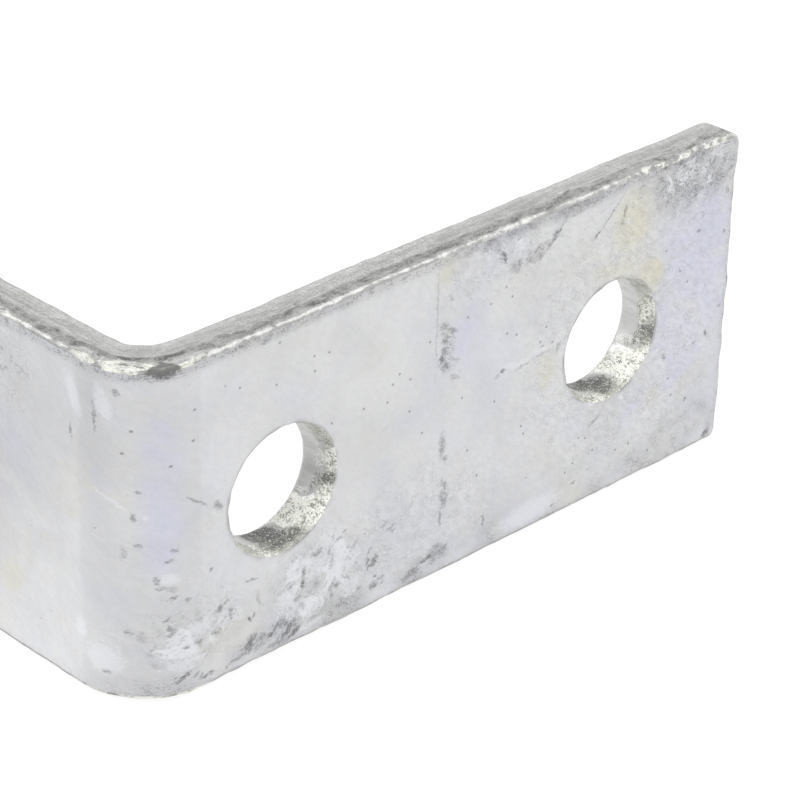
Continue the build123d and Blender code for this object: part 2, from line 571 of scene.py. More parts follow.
PALE_MARKS = (
    Mark(53.6, 22.6, 1.3, 0.34, -12.0),
    Mark(55.5, 22.4, 1.3, 0.28, 8.0),
    Mark(57.8, 22.8, 1.9, 0.26, 3.0),
    Mark(24.0, 1.6, 2.0, 0.30, 4.0),
    Mark(58.0, 2.4, 4.2, 1.3, 2.0),
    Mark(71.9, 34.4, 0.25, 0.40, 0.0),
    Mark(81.6, 37.4, 1.8, 1.1, 4.0),
    Mark(84.8, 37.2, 0.7, 0.8, 0.0),
    Mark(86.6, 38.7, 1.3, 0.8, 20.0),
    Mark(25.0, 8.8, 2.0, 1.4, 0.0),
    Mark(20.7, 5.6, 1.5, 2.0, -20.0),
    Mark(24.3, 4.4, 1.4, 1.5, 0.0),
    Mark(28.8, 7.8, 1.8, 2.0, 25.0),
    Mark(29.6, 4.4, 1.5, 1.3, 0.0),
    Mark(26.4, 11.2, 1.8, 0.9, 10.0),
    Mark(8.6, 8.3, 1.7, 1.0, 0.0),
    Mark(6.2, 7.6, 1.2, 1.0, 0.0),
    Mark(6.3, 4.7, 2.0, 1.2, -10.0),
    Mark(4.9, 15.0, 0.7, 0.6, 0.0),
    Mark(13.4, 7.6, 0.9, 0.9, 0.0),
    Mark(-5.2, 35.4, 0.55, 1.9, 12.0),
    Mark(-9.2, 34.9, 0.8, 2.4, 22.0),
    Mark(-4.8, 24.4, 1.4, 0.20, -35.0),
    Mark(-1.8, 22.6, 0.24, 0.24, 0.0),
    Mark(-5.8, 5.0, 1.5, 1.7, 10.0),
    Mark(-9.0, 7.6, 0.8, 1.2, 0.0),
)
# Reach and rise of each pinhole
PINHOLES = (
    (-0.5, 28.3), (2.0, 32.6), (1.4, 30.0), (7.8, 30.5), (8.0, 34.0), (10.0, 14.5), (14.0, 34.3),
    (19.4, 37.7), (19.0, 32.8), (24.2, 34.3), (26.3, 34.0), (24.3, 32.5), (26.8, 25.4),
    (31.4, 25.4), (34.9, 24.9), (35.6, 26.8), (36.6, 27.7), (38.2, 26.5), (38.2, 22.6),
    (40.2, 19.2), (41.0, 30.0), (46.2, 21.3), (51.3, 19.0), (53.5, 31.2), (50.2, 31.4),
    (52.3, 22.5), (46.7, 31.0), (56.2, 13.1), (55.8, 14.2), (47.3, 14.3), (49.0, 10.5),
    (58.3, 23.9), (65.5, 9.0), (66.6, 8.6), (68.0, 6.5), (72.0, 5.0), (74.2, 5.0), (77.7, 2.8),
    (64.7, 6.0), (63.5, 5.2), (80.5, 11.3), (81.2, 8.9), (81.4, 25.0), (84.1, 29.2),
    (78.8, 28.4), (82.8, 23.2), (52.5, 32.7), (52.9, 26.9), (54.4, 26.2), (59.2, 25.5), (60.3, 23.2),
)
# Reach at which each strip of the right inside starts. A strip has a material of its own, so
# that no material holds more than a few marks.
STRIP_STARTS = (-16.0, 0.0, 5.0, 12.0, 18.0, 24.0, 31.0, 40.0, 48.0, 57.0, 67.0, 78.0)
# The coordinates, the wear and the painted light that are stored on the mesh, up to three to an attribute
PAINTED = {
    "place": ("run", "rise", "height"),
    "wear": ("violet", "cream", "flaky"),
    "near": ("scuffed", "rim"),
    "crust_and_painted_light": ("darkening", "bright", "dark"),
    "frost": ("hatched", "crinkled", "folded"),
}


@dataclass(frozen=True)
class Arc:
    """A stretch of a hole's wall, in degrees: 0 is towards the bar's right end and 90 is up."""

    middle: float
    half: float
    sharpness: int = 2

    def cover(self, turn: np.ndarray) -> np.ndarray:
        """How far places at these turns lie in the stretch, from 0 to 1."""
        return np.exp(-(((turn - self.middle) / self.half) ** self.sharpness))


@dataclass(frozen=True)
class Scatter:
    """How many patches of one kind of wear are scattered on a side, and how large they are."""

    wear: Wear
    count: int
    least: float
    most: float
    along_edges: bool = False


SCATTERS = (
    Scatter(Wear.VIOLET, 16, 2.0, 6.0),
    Scatter(Wear.CREAM, 12, 1.5, 4.0),
    Scatter(Wear.FLAKY, 12, 1.5, 5.0, True),
    Scatter(Wear.SCUFFED, 30, 0.6, 2.4, True),
    Scatter(Wear.HATCHED, 30, 0.6, 2.4, True),
    Scatter(Wear.CRINKLED, 16, 4.0, 14.0),
    Scatter(Wear.PITTED, 16, 1.5, 6.0, True),
)


class FlatBar:
    """Gathers the flat bar's points and the four-cornered faces between them."""

    def __init__(self) -> None:
        """Starts with no points and no faces."""
        self._points: list[np.ndarray] = []
        self._faces: list[np.ndarray] = []
        self._zones: list[np.ndarray] = []
        self._count = 0

    def add(self, run: np.ndarray, rise: np.ndarray, height: np.ndarray | float) -> np.ndarray:
        """Adds points.

        Args:
            run: Runs of the points, in an array of any shape.
            rise: Rises, in the same shape.
            height: Heights, in the same shape, or one for all.

        Returns:
            The points' numbers, in the same shape.
        """
        height = np.broadcast_to(np.asarray(height, float), run.shape)
        self._points.append(np.column_stack((run.ravel(), rise.ravel(), height.ravel())))
        numbers = np.arange(self._count, self._count + run.size).reshape(run.shape)
        self._count += run.size
        return numbers

    def cover(self, corners: Sequence[np.ndarray], zone: Zone) -> None:
        """Adds faces.

        Args:
            corners: Four arrays of point numbers, one for each corner of the faces, in the
                order that turns their outer side to the viewer.
            zone: The part of the surface that they belong to.
        """
        faces = np.column_stack([corner.ravel() for corner in corners])
        self._faces.append(faces)
        self._zones.append(np.full(len(faces), int(zone)))

    def bridge_loops(self, lower: np.ndarray, upper: np.ndarray, zone: Zone) -> None:
        """Joins two closed loops of points with one row of faces.

        Args:
            lower: Point numbers of one loop.
            upper: Point numbers of the other, in step with the first.
            zone: The part of the surface that the row belongs to.
        """
        self.cover((lower, np.roll(lower, -1), np.roll(upper, -1), upper), zone)

    def places(self, numbers: np.ndarray) -> np.ndarray:
        """Run, rise and height of the points with these numbers."""
        return np.vstack(self._points)[numbers]

    def result(self) -> tuple[np.ndarray, np.ndarray, np.ndarray]:
        """Puts everything together.

        Returns:
            The points, with run, rise and height in their columns, the faces and their zones.
            Points that no face uses are left out.
        """
        points = np.vstack(self._points)
        faces = np.vstack(self._faces)
        used = np.zeros(len(points), bool)
        used[faces] = True
        renumbered = np.cumsum(used) - 1
        return points[used], renumbered[faces], np.concatenate(self._zones)


@dataclass
class BarSurface:
    """Lays out the faces of the punched flat bar."""

    plan: FoldPlan
    holes: Sequence[Hole]
    edge_radius: float = 0.5
    corner_radius: float = 1.3
    spacing: float = 0.65
    collar: float = 12.0
    collar_cells: int = 36
    collar_rings: int = 9
    fold_cells: int = 18

    @property
    def half(self) -> float:
        """Half the bar's thickness."""
        return self.plan.thickness / 2

    def _lines(self, stops: Sequence[tuple[float, int]]) -> np.ndarray:
        """Spaces grid lines between stops.

        Args:
            stops: Places in rising order, each with the number of cells that lead to it, or 0
                for as many as the usual spacing gives.

        Returns:
            The lines' places.
        """
        lines = [stops[0][0]]
        for place, cells in stops[1:]:
            start = lines[-1]
            cells = cells or max(1, round((place - start) / self.spacing))
            lines.extend(start + (place - start) * (k + 1) / cells for k in range(cells))
        return np.array(lines)

    def _run_lines(self) -> np.ndarray:
        """Grid lines across the bar, from one end to the other."""
        plan = self.plan
        corner = self.corner_radius - self.edge_radius
        end = plan.end_run - self.edge_radius
        stops = {0.0: 0, plan.bridge_run: 0, plan.wall_run: self.fold_cells, plan.root_run: 0}
        stops[plan.wing_run] = self.fold_cells
        for hole in self.holes:
            if hole.run > 1:
                stops[hole.run - self.collar] = stops.get(hole.run - self.collar, 0)
                stops[hole.run + self.collar] = self.collar_cells
        stops[self.collar] = self.collar_cells // 2
        stops[end - corner] = 0
        stops[end] = 2
        merged: list[tuple[float, int]] = []
        for place in sorted(stops):
            if merged and place - merged[-1][0] < 1e-6:
                merged[-1] = (merged[-1][0], max(merged[-1][1], stops[place]))
            else:
                merged.append((place, stops[place]))
        right = self._lines(merged)
        return np.concatenate((-right[:0:-1], right))

    def _rise_lines(self) -> np.ndarray:
        """Grid lines along the bar, from its lower edge to its upper one."""
        low = self.edge_radius
        corner = self.corner_radius - self.edge_radius
        high = self.plan.width - low
        middle = self.plan.width / 2
        stops = [(low, 0), (low + corner, 2), (middle - self.collar, 0)]
        stops += [(middle + self.collar, self.collar_cells), (high - corner, 0), (high, 2)]
        return self._lines(stops)

    def _round_corners(self, run: np.ndarray, rise: np.ndarray) -> None:
        """Moves the outermost points of the grid's four corners on to small arcs.

        Args:
            run: Runs of the grid's points, changed in place.
            rise: Rises of the grid's points, changed in place.
        """
        radius = self.corner_radius - self.edge_radius
        turns = np.radians((0, 22.5, 45, 67.5, 90))
        steps = ((0, 2), (0, 1), (0, 0), (1, 0), (2, 0))
        last_i, last_j = run.shape[0] - 1, run.shape[1] - 1
        side_i, side_j = last_i // 2, last_j // 2
        for right in (False, True):
            for top in (False, True):
                sign_x, sign_y = (1 if right else -1), (1 if top else -1)
                centre_x = run[last_i if right else 0, side_j] - sign_x * radius
                centre_y = rise[side_i, last_j if top else 0] - sign_y * radius
                for turn, (i, j) in zip(turns, steps):
                    place = (last_i - i if right else i, last_j - j if top else j)
                    run[place] = centre_x + sign_x * radius * math.cos(turn)
                    rise[place] = centre_y + sign_y * radius * math.sin(turn)

    @staticmethod
    def _rim(numbers: np.ndarray) -> np.ndarray:
        """Point numbers round a grid's border, anticlockwise from its first corner."""
        return np.concatenate(
            (numbers[:-1, 0], numbers[-1, :-1], numbers[:0:-1, -1], numbers[0, :0:-1])
        )

    def _broad_side(self, bar: FlatBar, height: float, zone: Zone) -> tuple[np.ndarray, list]:
        """Adds one broad side with a collar of rings round each hole.

        Args:
            bar: Gathers the points and faces.
            height: Height of the side.
            zone: Which side it is.

        Returns:
            The loop of points round the side, and the loop round each hole's lip.
        """
        run, rise = np.meshgrid(self._run_lines(), self._rise_lines(), indexing="ij")
        free = np.ones(run.shape, bool)
        square_run, square_rise = run[:, 0].copy(), rise[0].copy()
        self._round_corners(run, rise)
        numbers = bar.add(run, rise, height)
        lips = []
        for hole in self.holes:
            first = int(np.argmin(np.abs(square_run - (hole.run - self.collar))))
            low = int(np.argmin(np.abs(square_rise - (hole.rise - self.collar))))
            cells = self.collar_cells
            free[first : first + cells, low : low + cells] = False
            block = numbers[first : first + cells + 1, low : low + cells + 1]
            lips.append(self._collar(bar, hole, block, (run, rise), numbers, height, zone))
        squares = (numbers[:-1, :-1], numbers[1:, :-1], numbers[1:, 1:], numbers[:-1, 1:])
        corners = [corner[free[:-1, :-1]] for corner in squares]
        bar.cover(corners if zone is Zone.INSIDE else corners[::-1], zone)
        return self._rim(numbers), lips

    def _collar(
        self,
        bar: FlatBar,
        hole: Hole,
        block: np.ndarray,
        grid: tuple[np.ndarray, np.ndarray],
        numbers: np.ndarray,
        height: float,
        zone: Zone,
    ) -> np.ndarray:
        """Adds the rings between a hole's lip and the square that was left free for it.

        Args:
            bar: Gathers the points and faces.
            hole: The hole.
            block: Point numbers of the square.
            grid: Runs and rises of the whole grid's points.
            numbers: Point numbers of the whole grid.
            height: Height of the side.
            zone: Which side it is.

        Returns:
            The loop of points round the lip.
        """
        outer = self._rim(block)
        first = numbers[0, 0]
        square = np.column_stack((grid[0].ravel()[outer - first], grid[1].ravel()[outer - first]))
        profile = hole.profile(self.half)
        lip_radius = profile[0][0] if zone is Zone.INSIDE else profile[-1][0]
        turns = np.radians(-135.0 + 360.0 / len(outer) * np.arange(len(outer)))
        centre = np.array((hole.run, hole.rise))
        circle = centre + lip_radius * np.column_stack((np.cos(turns), np.sin(turns)))
        previous = outer
        for ring in range(1, self.collar_rings + 1):
            part = ring / self.collar_rings
            part = 1 - (1 - part) ** 1.5
            spot = square + (circle - square) * part
            loop = bar.add(spot[:, 0], spot[:, 1], height)
            pair = (loop, previous) if zone is Zone.OUTSIDE else (previous, loop)
            bar.bridge_loops(pair[0], pair[1], zone)
            previous = loop
        return previous

    def _bore(self, bar: FlatBar, hole: Hole, inside: np.ndarray, outside: np.ndarray) -> None:
        """Adds a hole's wall between its two lips.

        Args:
            bar: Gathers the points and faces.
            hole: The hole.
            inside: Loop of points round the inside lip.
            outside: Loop of points round the outside lip.
        """
        turns = np.radians(-135.0 + 360.0 / len(inside) * np.arange(len(inside)))
        previous = inside
        for radius, height in hole.profile(self.half)[1:-1]:
            run = hole.run + radius * np.cos(turns)
            loop = bar.add(run, hole.rise + radius * np.sin(turns), height)
            bar.bridge_loops(previous, loop, Zone.BORE)
            previous = loop
        bar.bridge_loops(previous, outside, Zone.BORE)

    def _edges(self, bar: FlatBar, inside: np.ndarray, outside: np.ndarray) -> None:
        """Adds the long edges and the sheared ends, with their roundings.

        Args:
            bar: Gathers the points and faces.
            inside: Loop of points round the inside.
            outside: Loop of points round the outside.
        """
        points = bar.places(inside)
        radius = self.corner_radius - self.edge_radius
        end = self.plan.end_run - self.corner_radius
        high = self.plan.width - self.corner_radius
        core_run = np.clip(points[:, 0], -end, end)
        core_rise = np.clip(points[:, 1], self.corner_radius, high)
        outward = np.column_stack((points[:, 0] - core_run, points[:, 1] - core_rise)) / radius
        outward /= np.linalg.norm(outward, axis=1)[:, None]
        rows = []
        flat = self.half - self.edge_radius
        for turn in np.radians((22.5, 45.0, 67.5, 90.0)):
            rows.append((math.sin(turn), -flat - self.edge_radius * math.cos(turn)))
        rows += [(1.0, height) for height in np.linspace(-flat, flat, 7)[1:]]
        for turn in np.radians((67.5, 45.0, 22.5)):
            rows.append((math.sin(turn), flat + self.edge_radius * math.cos(turn)))
        previous = inside
        for share, height in rows:
            spot = points[:, :2] + outward * self.edge_radius * share
            loop = bar.add(spot[:, 0], spot[:, 1], height)
            bar.bridge_loops(loop, previous, Zone.EDGE)
            previous = loop
        bar.bridge_loops(outside, previous, Zone.EDGE)

    def build(self) -> tuple[np.ndarray, np.ndarray, np.ndarray]:
        """Builds the whole skin of the flat bar.

        Returns:
            Its points, with run, rise and height in their columns, its faces and their zones.
        """
        bar = FlatBar()
        inside, inner_lips = self._broad_side(bar, -self.half, Zone.INSIDE)
        outside, outer_lips = self._broad_side(bar, self.half, Zone.OUTSIDE)
        for hole, inner, outer in zip(self.holes, inner_lips, outer_lips):
            self._bore(bar, hole, inner, outer)
        self._edges(bar, inside, outside)
        return bar.result()


@dataclass
class Relief:
    """The small unevenness of the real bar: sheared ends, swollen folds and a lumpy coat.

    Each swell of an end has its rise, its half width and how far it stands out.
    """

    plan: FoldPlan
    end_wave: float = 0.14
    end_reach: float = 0.12
    end_swells: Sequence[tuple[float, float, float]] = (
        (38.5, 2.6, 0.34),
        (33.0, 3.0, 0.10),
        (20.0, 2.5, 0.16),
        (2.5, 2.5, -0.20),
    )
    rim_draw: float = 0.13
    edge_wave: float = 0.05
    neck_draw: float = 0.24
    fold_swell: float = 0.28
    fold_draw: float = 0.30
    coat_wave: float = 0.035
    rim_lumps: float = 0.07
    bore_lumps: float = 0.07
    flaky_lumps: float = 0.04

    def shift_flat(self, points: np.ndarray) -> np.ndarray:
        """Moves points of the flat bar within its own directions.

        Args:
            points: The bar's points, with run, rise and height in their columns.

        Returns:
            The moved points.
        """
        plan = self.plan
        run, rise, height = points.T
        moved = points.copy()
        tip = ease(4.0, 0.0, plan.end_run - np.abs(run))
        along = np.column_stack((np.sign(run) * 40, rise, height * 0.25))
        wave = lumps(along, 7.0, 1.0) + 0.6 * lumps(along, 2.2, 2.0)
        out = self.end_reach + self.end_wave * wave
        for middle, half, swell in self.end_swells:
            out += swell * np.exp(-(((rise - middle) / half) ** 2))
        moved[:, 0] += np.sign(run) * tip * out
        side = np.sign(rise - plan.width / 2)
        gap = np.minimum(rise, plan.width - rise)
        rim = ease(2.5, 0.0, gap)
        along = np.column_stack((run, side * 30, height * 0.4))
        wave = lumps(along, 6.0, 3.0) + 0.7 * lumps(along, 1.9, 4.0)
        crown = 0.12 * ease(0.5, 2.5, height)
        moved[:, 1] += side * rim * (self.edge_wave * (wave - 0.3) - crown - self.rim_draw)
        neck = np.exp(-(((np.abs(run) - plan.wing_run - 8.0) / 13.0) ** 2))
        moved[:, 1] -= side * ease(7.0, 0.0, gap) * neck * self.neck_draw
        for start, outer in ((plan.bridge_run, 1.0), (plan.root_run, -1.0)):
            middle = start + plan.fold_run / 2
            bell = np.exp(-(((np.abs(run) - middle) / (0.45 * plan.fold_run)) ** 2))
            stretched = height * outer / (plan.thickness / 2)
            change = np.where(stretched > 0, -self.fold_draw * stretched, -self.fold_swell * stretched)
            moved[:, 1] += side * ease(6.0, 0.0, gap) * bell * change
        return moved

    def lift(self, places: np.ndarray, flat: np.ndarray, zone: np.ndarray, flaky: np.ndarray) -> np.ndarray:
        """How far each point stands out along its normal.

        Args:
            places: The folded points in millimetres.
            flat: The same points on the flat bar.
            zone: Each point's zone.
            flaky: How flaky the coat is at each point, from 0 to 1.

        Returns:
            The distances in millimetres.
        """
        plan = self.plan
        gap = np.minimum(np.minimum(flat[:, 1], plan.width - flat[:, 1]), plan.end_run - np.abs(flat[:, 0]))
        rim = ease(1.6, 0.2, gap)
        out = self.coat_wave * (lumps(places, 9.0, 5.0) + 0.5 * lumps(places, 3.5, 6.0))
        out += self.rim_lumps * rim * (0.6 * lumps(places, 1.7, 7.0) + 0.4 * lumps(places, 3.9, 8.0))
        out += self.flaky_lumps * flaky * lumps(places, 1.9, 9.0)
        bore = zone == Zone.BORE
        torn = ease(-0.2, -1.0, flat[:, 2])
        rough = lumps(places, 1.3, 10.0) * (0.35 + 0.65 * torn)
        out[bore] = (self.bore_lumps * rough)[bore]
        return out


class Weathering:
    """Paints wear on the flat bar: placed one by one on the right inside, scattered elsewhere.

    The arcs say where the holes' walls are crusted, where they carry a painted highlight, where they
    are bare and dark with a painted dark reflection, and where their lips are darker. The listed
    patches start at the reach placed_from.
    """

    placed_from: float = -14.0
    # Painted highlight at the lower right of a hole's wall
    painted_highlight_floor: Arc = Arc(-43.0, 17.0, 4)
    bright_side: Arc = Arc(6.0, 10.0)
    bright_back: Arc = Arc(-112.0, 14.0)
    # Painted dark reflection at the bottom of a hole's wall
    painted_reflection_floor: Arc = Arc(-82.0, 19.0, 4)
    dark_side: Arc = Arc(-16.0, 8.0)
    darker_lip: Arc = Arc(-30.0, 45.0, 4)
    darker_lip_top: Arc = Arc(78.0, 26.0, 4)

    def __init__(self, plan: FoldPlan, seed: int = 7) -> None:
        """Places the patches.

        Args:
            plan: How the bar folds.
            seed: Picks the scatter.
        """
        self.plan = plan
        self._rows: dict[Wear, list[tuple[float, ...]]] = {wear: [] for wear in Wear}
        for wear, patches in PATCHES.items():
            for patch in patches:
                place = (plan.run_at_reach(patch.reach), patch.rise, -1.0)
                shape = (patch.half_reach, patch.half_rise, patch.turn, patch.strength)
                self._rows[wear].append((*place, *shape))
        self._scatter(np.random.default_rng(seed))

    def _scatter(self, dice: np.random.Generator) -> None:
        """Scatters patches over every part of the bar that has none of the listed patches.

        Args:
            dice: Source of the random places and sizes.
        """
        plan = self.plan
        for side in (-1.0, 1.0):
            low = -plan.end_run
            high = plan.end_run if side > 0 else plan.run_at_reach(self.placed_from)
            for kind in SCATTERS:
                for _ in range(int(kind.count * (high - low) / (2 * plan.end_run))):
                    half_reach, half_rise = dice.uniform(kind.least, kind.most, 2)
                    run, rise = dice.uniform(low, high), dice.uniform(0.0, plan.width)
                    if kind.along_edges:
                        rise = plan.width * dice.choice((0.07, 0.93)) + dice.normal(0.0, 2.5)
                    turn, strength = dice.uniform(0, 90), dice.uniform(0.4, 1.0)
                    self._rows[kind.wear].append((run, rise, side, half_reach, half_rise, turn, strength))

    def amount(self, wear: Wear, flat: np.ndarray) -> np.ndarray:
        """How strong one kind of wear is.

        Args:
            wear: The kind.
            flat: Points on the flat bar.

        Returns:
            A value for each point, from 0 to about 1.
        """
        total = np.zeros(len(flat))
        for run, rise, side, half_run, half_rise, turn, strength in self._rows[wear]:
            near = np.abs(flat[:, 0] - run) < 2.5 * max(half_run, half_rise)
            near &= flat[:, 2] * side > -0.5
            across = flat[near, 0] - run
            up = flat[near, 1] - rise
            cosine, sine = math.cos(math.radians(turn)), math.sin(math.radians(turn))
            along, over = across * cosine + up * sine, up * cosine - across * sine
            far = np.hypot(along / half_run, over / half_rise)
            total[near] = np.maximum(total[near], strength * ease(1.35, 0.45, far))
        if wear in (Wear.SCUFFED, Wear.HATCHED, Wear.PITTED):
            total *= np.clip(0.88 + 0.5 * lumps(flat, 1.5, 24.0), 0.35, 1.2)
        return total

    def crust_and_painted_light(self, flat: np.ndarray, lip: np.ndarray, holes: Sequence[Hole]) -> dict[str, np.ndarray]:
        """Darkening towards the lower rim, painted light inside the U, and the holes' walls: crusted, with
        a painted highlight and a painted dark reflection.

        Args:
            flat: Points on the flat bar.
            lip: Distance of each point from the nearest hole's wall.
            holes: The holes.

        Returns:
            Values for each point, from 0 to 1, under the names dull, bright and dark.
        """
        run, rise, height = flat.T
        # The coat darkens towards the lower rim, and in the pitted patches
        darkening = ease(6.8, 1.2, rise) * np.clip(0.7 + 0.6 * lumps(flat, 6.0, 21.0), 0.0, 1.0)
        darkening *= 1 - np.clip(1.4 * self.amount(Wear.VIOLET, flat), 0.0, 1.0)
        darkening *= 1 - 0.2 * ease(48.0, 60.0, run - self.plan.run_at_reach(0.0))
        darkening = np.maximum(darkening, 0.8 * self.amount(Wear.PITTED, flat))
        # Painted light: the coat on the inside of the U is painted lighter, and darkens less at its lower
        # rim
        painted_fill_inside_u = ease(self.plan.root_run + 6.0, self.plan.root_run - 3.0, np.abs(run))
        darkening *= 1 - 0.8 * painted_fill_inside_u
        bright, dark = painted_fill_inside_u * (height < -2.4), np.zeros(len(flat))
        for hole in holes:
            away = np.hypot(run - hole.run, rise - hole.rise) - hole.radius
            wall = (np.abs(away) < 1.5) & (lip < 0.8)
            bright[wall], dark[wall] = self._wall_crust_and_painted_light(hole, flat[wall])
            # Darker lips round the holes, strongest at the lower right and at the top
            ring = (np.abs(height) > 2.3) & (lip > 0.54) & (lip < 1.2)
            turn = np.degrees(np.arctan2(rise[ring] - hole.rise, run[ring] - hole.run))
            worn = self.darker_lip.cover(turn) + 0.8 * self.darker_lip_top.cover(turn)
            worn *= np.clip(0.75 + 0.8 * lumps(flat[ring], 1.6, 23.0), 0.0, 1.0)
            dark[ring] = worn * ease(0.90, 0.65, lip[ring])
        return {"darkening": darkening, "bright": bright, "dark": dark}

    def _wall_crust_and_painted_light(self, hole: Hole, flat: np.ndarray) -> tuple[np.ndarray, np.ndarray]:
        """Where a hole's wall is bright with crusts and a painted highlight, and where it is bare and dark
        with a painted dark reflection.

        Args:
            hole: The hole.
            flat: Points of its wall on the flat bar.

        Returns:
            Bright and dark at each point, from 0 to 1.
        """
        run, rise, height = flat.T
        turn = np.degrees(np.arctan2(rise - hole.rise, run - hole.run))
        turn = turn + 10.0 * lumps(flat, 2.5, 22.0) + 6.0 * (height + 1.0)
        front = ease(0.6, -1.6, height)
        bright = self.painted_highlight_floor.cover(turn)
        bright = np.maximum(bright, 0.75 * front * self.bright_side.cover(turn))
        bright = np.maximum(bright, 0.6 * front * self.bright_back.cover(turn))
        dark = self.painted_reflection_floor.cover(turn) * (1 - 0.5 * ease(-1.4, -2.2, height))
        dark = np.maximum(dark, (0.45 + 0.45 * front) * self.dark_side.cover(turn))
        return bright, dark


class Wiring:
    """Places and joins the nodes of one shader tree."""

    def __init__(self, tree: bpy.types.NodeTree) -> None:
        """Works on the given tree."""
        self.tree = tree

    def node(self, kind: str, **settings: Any) -> bpy.types.Node:
        """Adds a node of a kind, with its settings."""
        made = self.tree.nodes.new("ShaderNode" + kind)
        for name, value in settings.items():
            setattr(made, name, value)
        return made

    def feed(self, socket: Socket, value: Any) -> None:
        """Links a socket to another, or sets its value.

        Args:
            socket: The input socket.
            value: An output socket, a number, a colour or a vector.
        """
        if isinstance(value, bpy.types.NodeSocket):
            self.tree.links.new(value, socket)
        elif isinstance(value, tuple) and socket.type == "RGBA":
            socket.default_value = (*value, 1.0)
        else:
            socket.default_value = value

    def calculate(self, operation: str, first: Any, second: Any = 0.0, clamp: bool = False) -> Socket:
        """One Math node.

        Args:
            operation: Its operation.
            first: Its first input.
            second: Its second input.
            clamp: Whether it keeps the result between 0 and 1.

        Returns:
            Its result.
        """
        made = self.node("Math", operation=operation, use_clamp=clamp)
        self.feed(made.inputs[0], first)
        self.feed(made.inputs[1], second)
        return made.outputs[0]

    def plus(self, first: Any, second: Any, clamp: bool = False) -> Socket:
        """The sum of two values."""
        return self.calculate("ADD", first, second, clamp)

    def minus(self, first: Any, second: Any, clamp: bool = False) -> Socket:
        """The first value less the second."""
        return self.calculate("SUBTRACT", first, second, clamp)

    def times(self, first: Any, second: Any) -> Socket:
        """The product of two values."""
        return self.calculate("MULTIPLY", first, second)

    def most(self, first: Any, second: Any) -> Socket:
        """The larger of two values."""
        return self.calculate("MAXIMUM", first, second)

    def least(self, first: Any, second: Any) -> Socket:
        """The smaller of two values."""
        return self.calculate("MINIMUM", first, second)

    def unsigned(self, value: Any) -> Socket:
        """A value without its sign."""
        return self.calculate("ABSOLUTE", value)

    def vector(self, operation: str, first: Any, second: Any = None) -> Socket:
        """One Vector Math node.

        Args:
            operation: Its operation.
            first: Its first input.
            second: Its second input, or a number for a scale.

        Returns:
            Its result, a number for a length, distance or dot product.
        """
        made = self.node("VectorMath", operation=operation)
        self.feed(made.inputs[0], first)
        if operation == "SCALE":
            self.feed(made.inputs["Scale"], second)
        elif second is not None:
            self.feed(made.inputs[1], second)
        return made.outputs["Value" if operation in ("LENGTH", "DISTANCE", "DOT_PRODUCT") else "Vector"]

    def span(self, value: Any, low: Any, high: Any, start: Any = 0.0, end: Any = 1.0) -> Socket:
        """Eases a value from one range into another.

        Args:
            value: The value.
            low: Start of its own range.
            high: End of its own range.
            start: Result at the start.
            end: Result at the end.

        Returns:
            The eased value.
        """
        made = self.node("MapRange", interpolation_type="SMOOTHSTEP")
        names = ("Value", "From Min", "From Max", "To Min", "To Max")
        for name, given in zip(names, (value, low, high, start, end)):
            self.feed(made.inputs[name], given)
        return made.outputs["Result"]

    def blend(self, factor: Any, first: Any, second: Any, way: str = "MIX") -> Socket:
        """Mixes two colours.

        Args:
            factor: Share of the second colour.
            first: The first colour.
            second: The second colour.
            way: How they are mixed.

        Returns:
            The mixed colour.
        """
        made = self.node("Mix", data_type="RGBA", blend_type=way, clamp_factor=True)
        self.feed(made.inputs["Factor"], factor)
        self.feed(made.inputs[6], first)
        self.feed(made.inputs[7], second)
        return made.outputs[2]

    def cloud(
        self, place: Any, scale: float, detail: float = 2.0, roughness: float = 0.5, warp: float = 0.0
    ) -> Socket:
        """Noise.

        Args:
            place: Where it is read.
            scale: Lumps for each millimetre.
            detail: How many finer layers it has.
            roughness: How strong they are.
            warp: How much it is distorted.

        Returns:
            Its value, about 0.5 on average.
        """
        made = self.node("TexNoise")
        self.feed(made.inputs["Vector"], place)
        names = ("Scale", "Detail", "Roughness", "Distortion")
        for name, given in zip(names, (scale, detail, roughness, warp)):
            self.feed(made.inputs[name], given)
        return made.outputs["Fac"]

    def stretch(self, place: Any, scale: tuple[float, float, float], turn: float = 0.0) -> Socket:
        """Turns and scales coordinates, so that a pattern on them is drawn out.

        Args:
            place: The coordinates.
            scale: Factors along them.
            turn: Turn in degrees across the bar's face.

        Returns:
            The new coordinates.
        """
        turned = self.node("Mapping")
        self.feed(turned.inputs["Vector"], place)
        turned.inputs["Rotation"].default_value = (0.0, 0.0, math.radians(turn))
        return self.vector("MULTIPLY", turned.outputs["Vector"], scale)

    def group(self, tree: bpy.types.NodeTree, **inputs: Any) -> bpy.types.Node:
        """Places a node group and feeds its inputs by name.

        Args:
            tree: The group.
            inputs: Values or sockets for its inputs.

        Returns:
            The group's node.
        """
        made = self.node("Group", node_tree=tree)
        for name, value in inputs.items():
            self.feed(made.inputs[name], value)
        return made


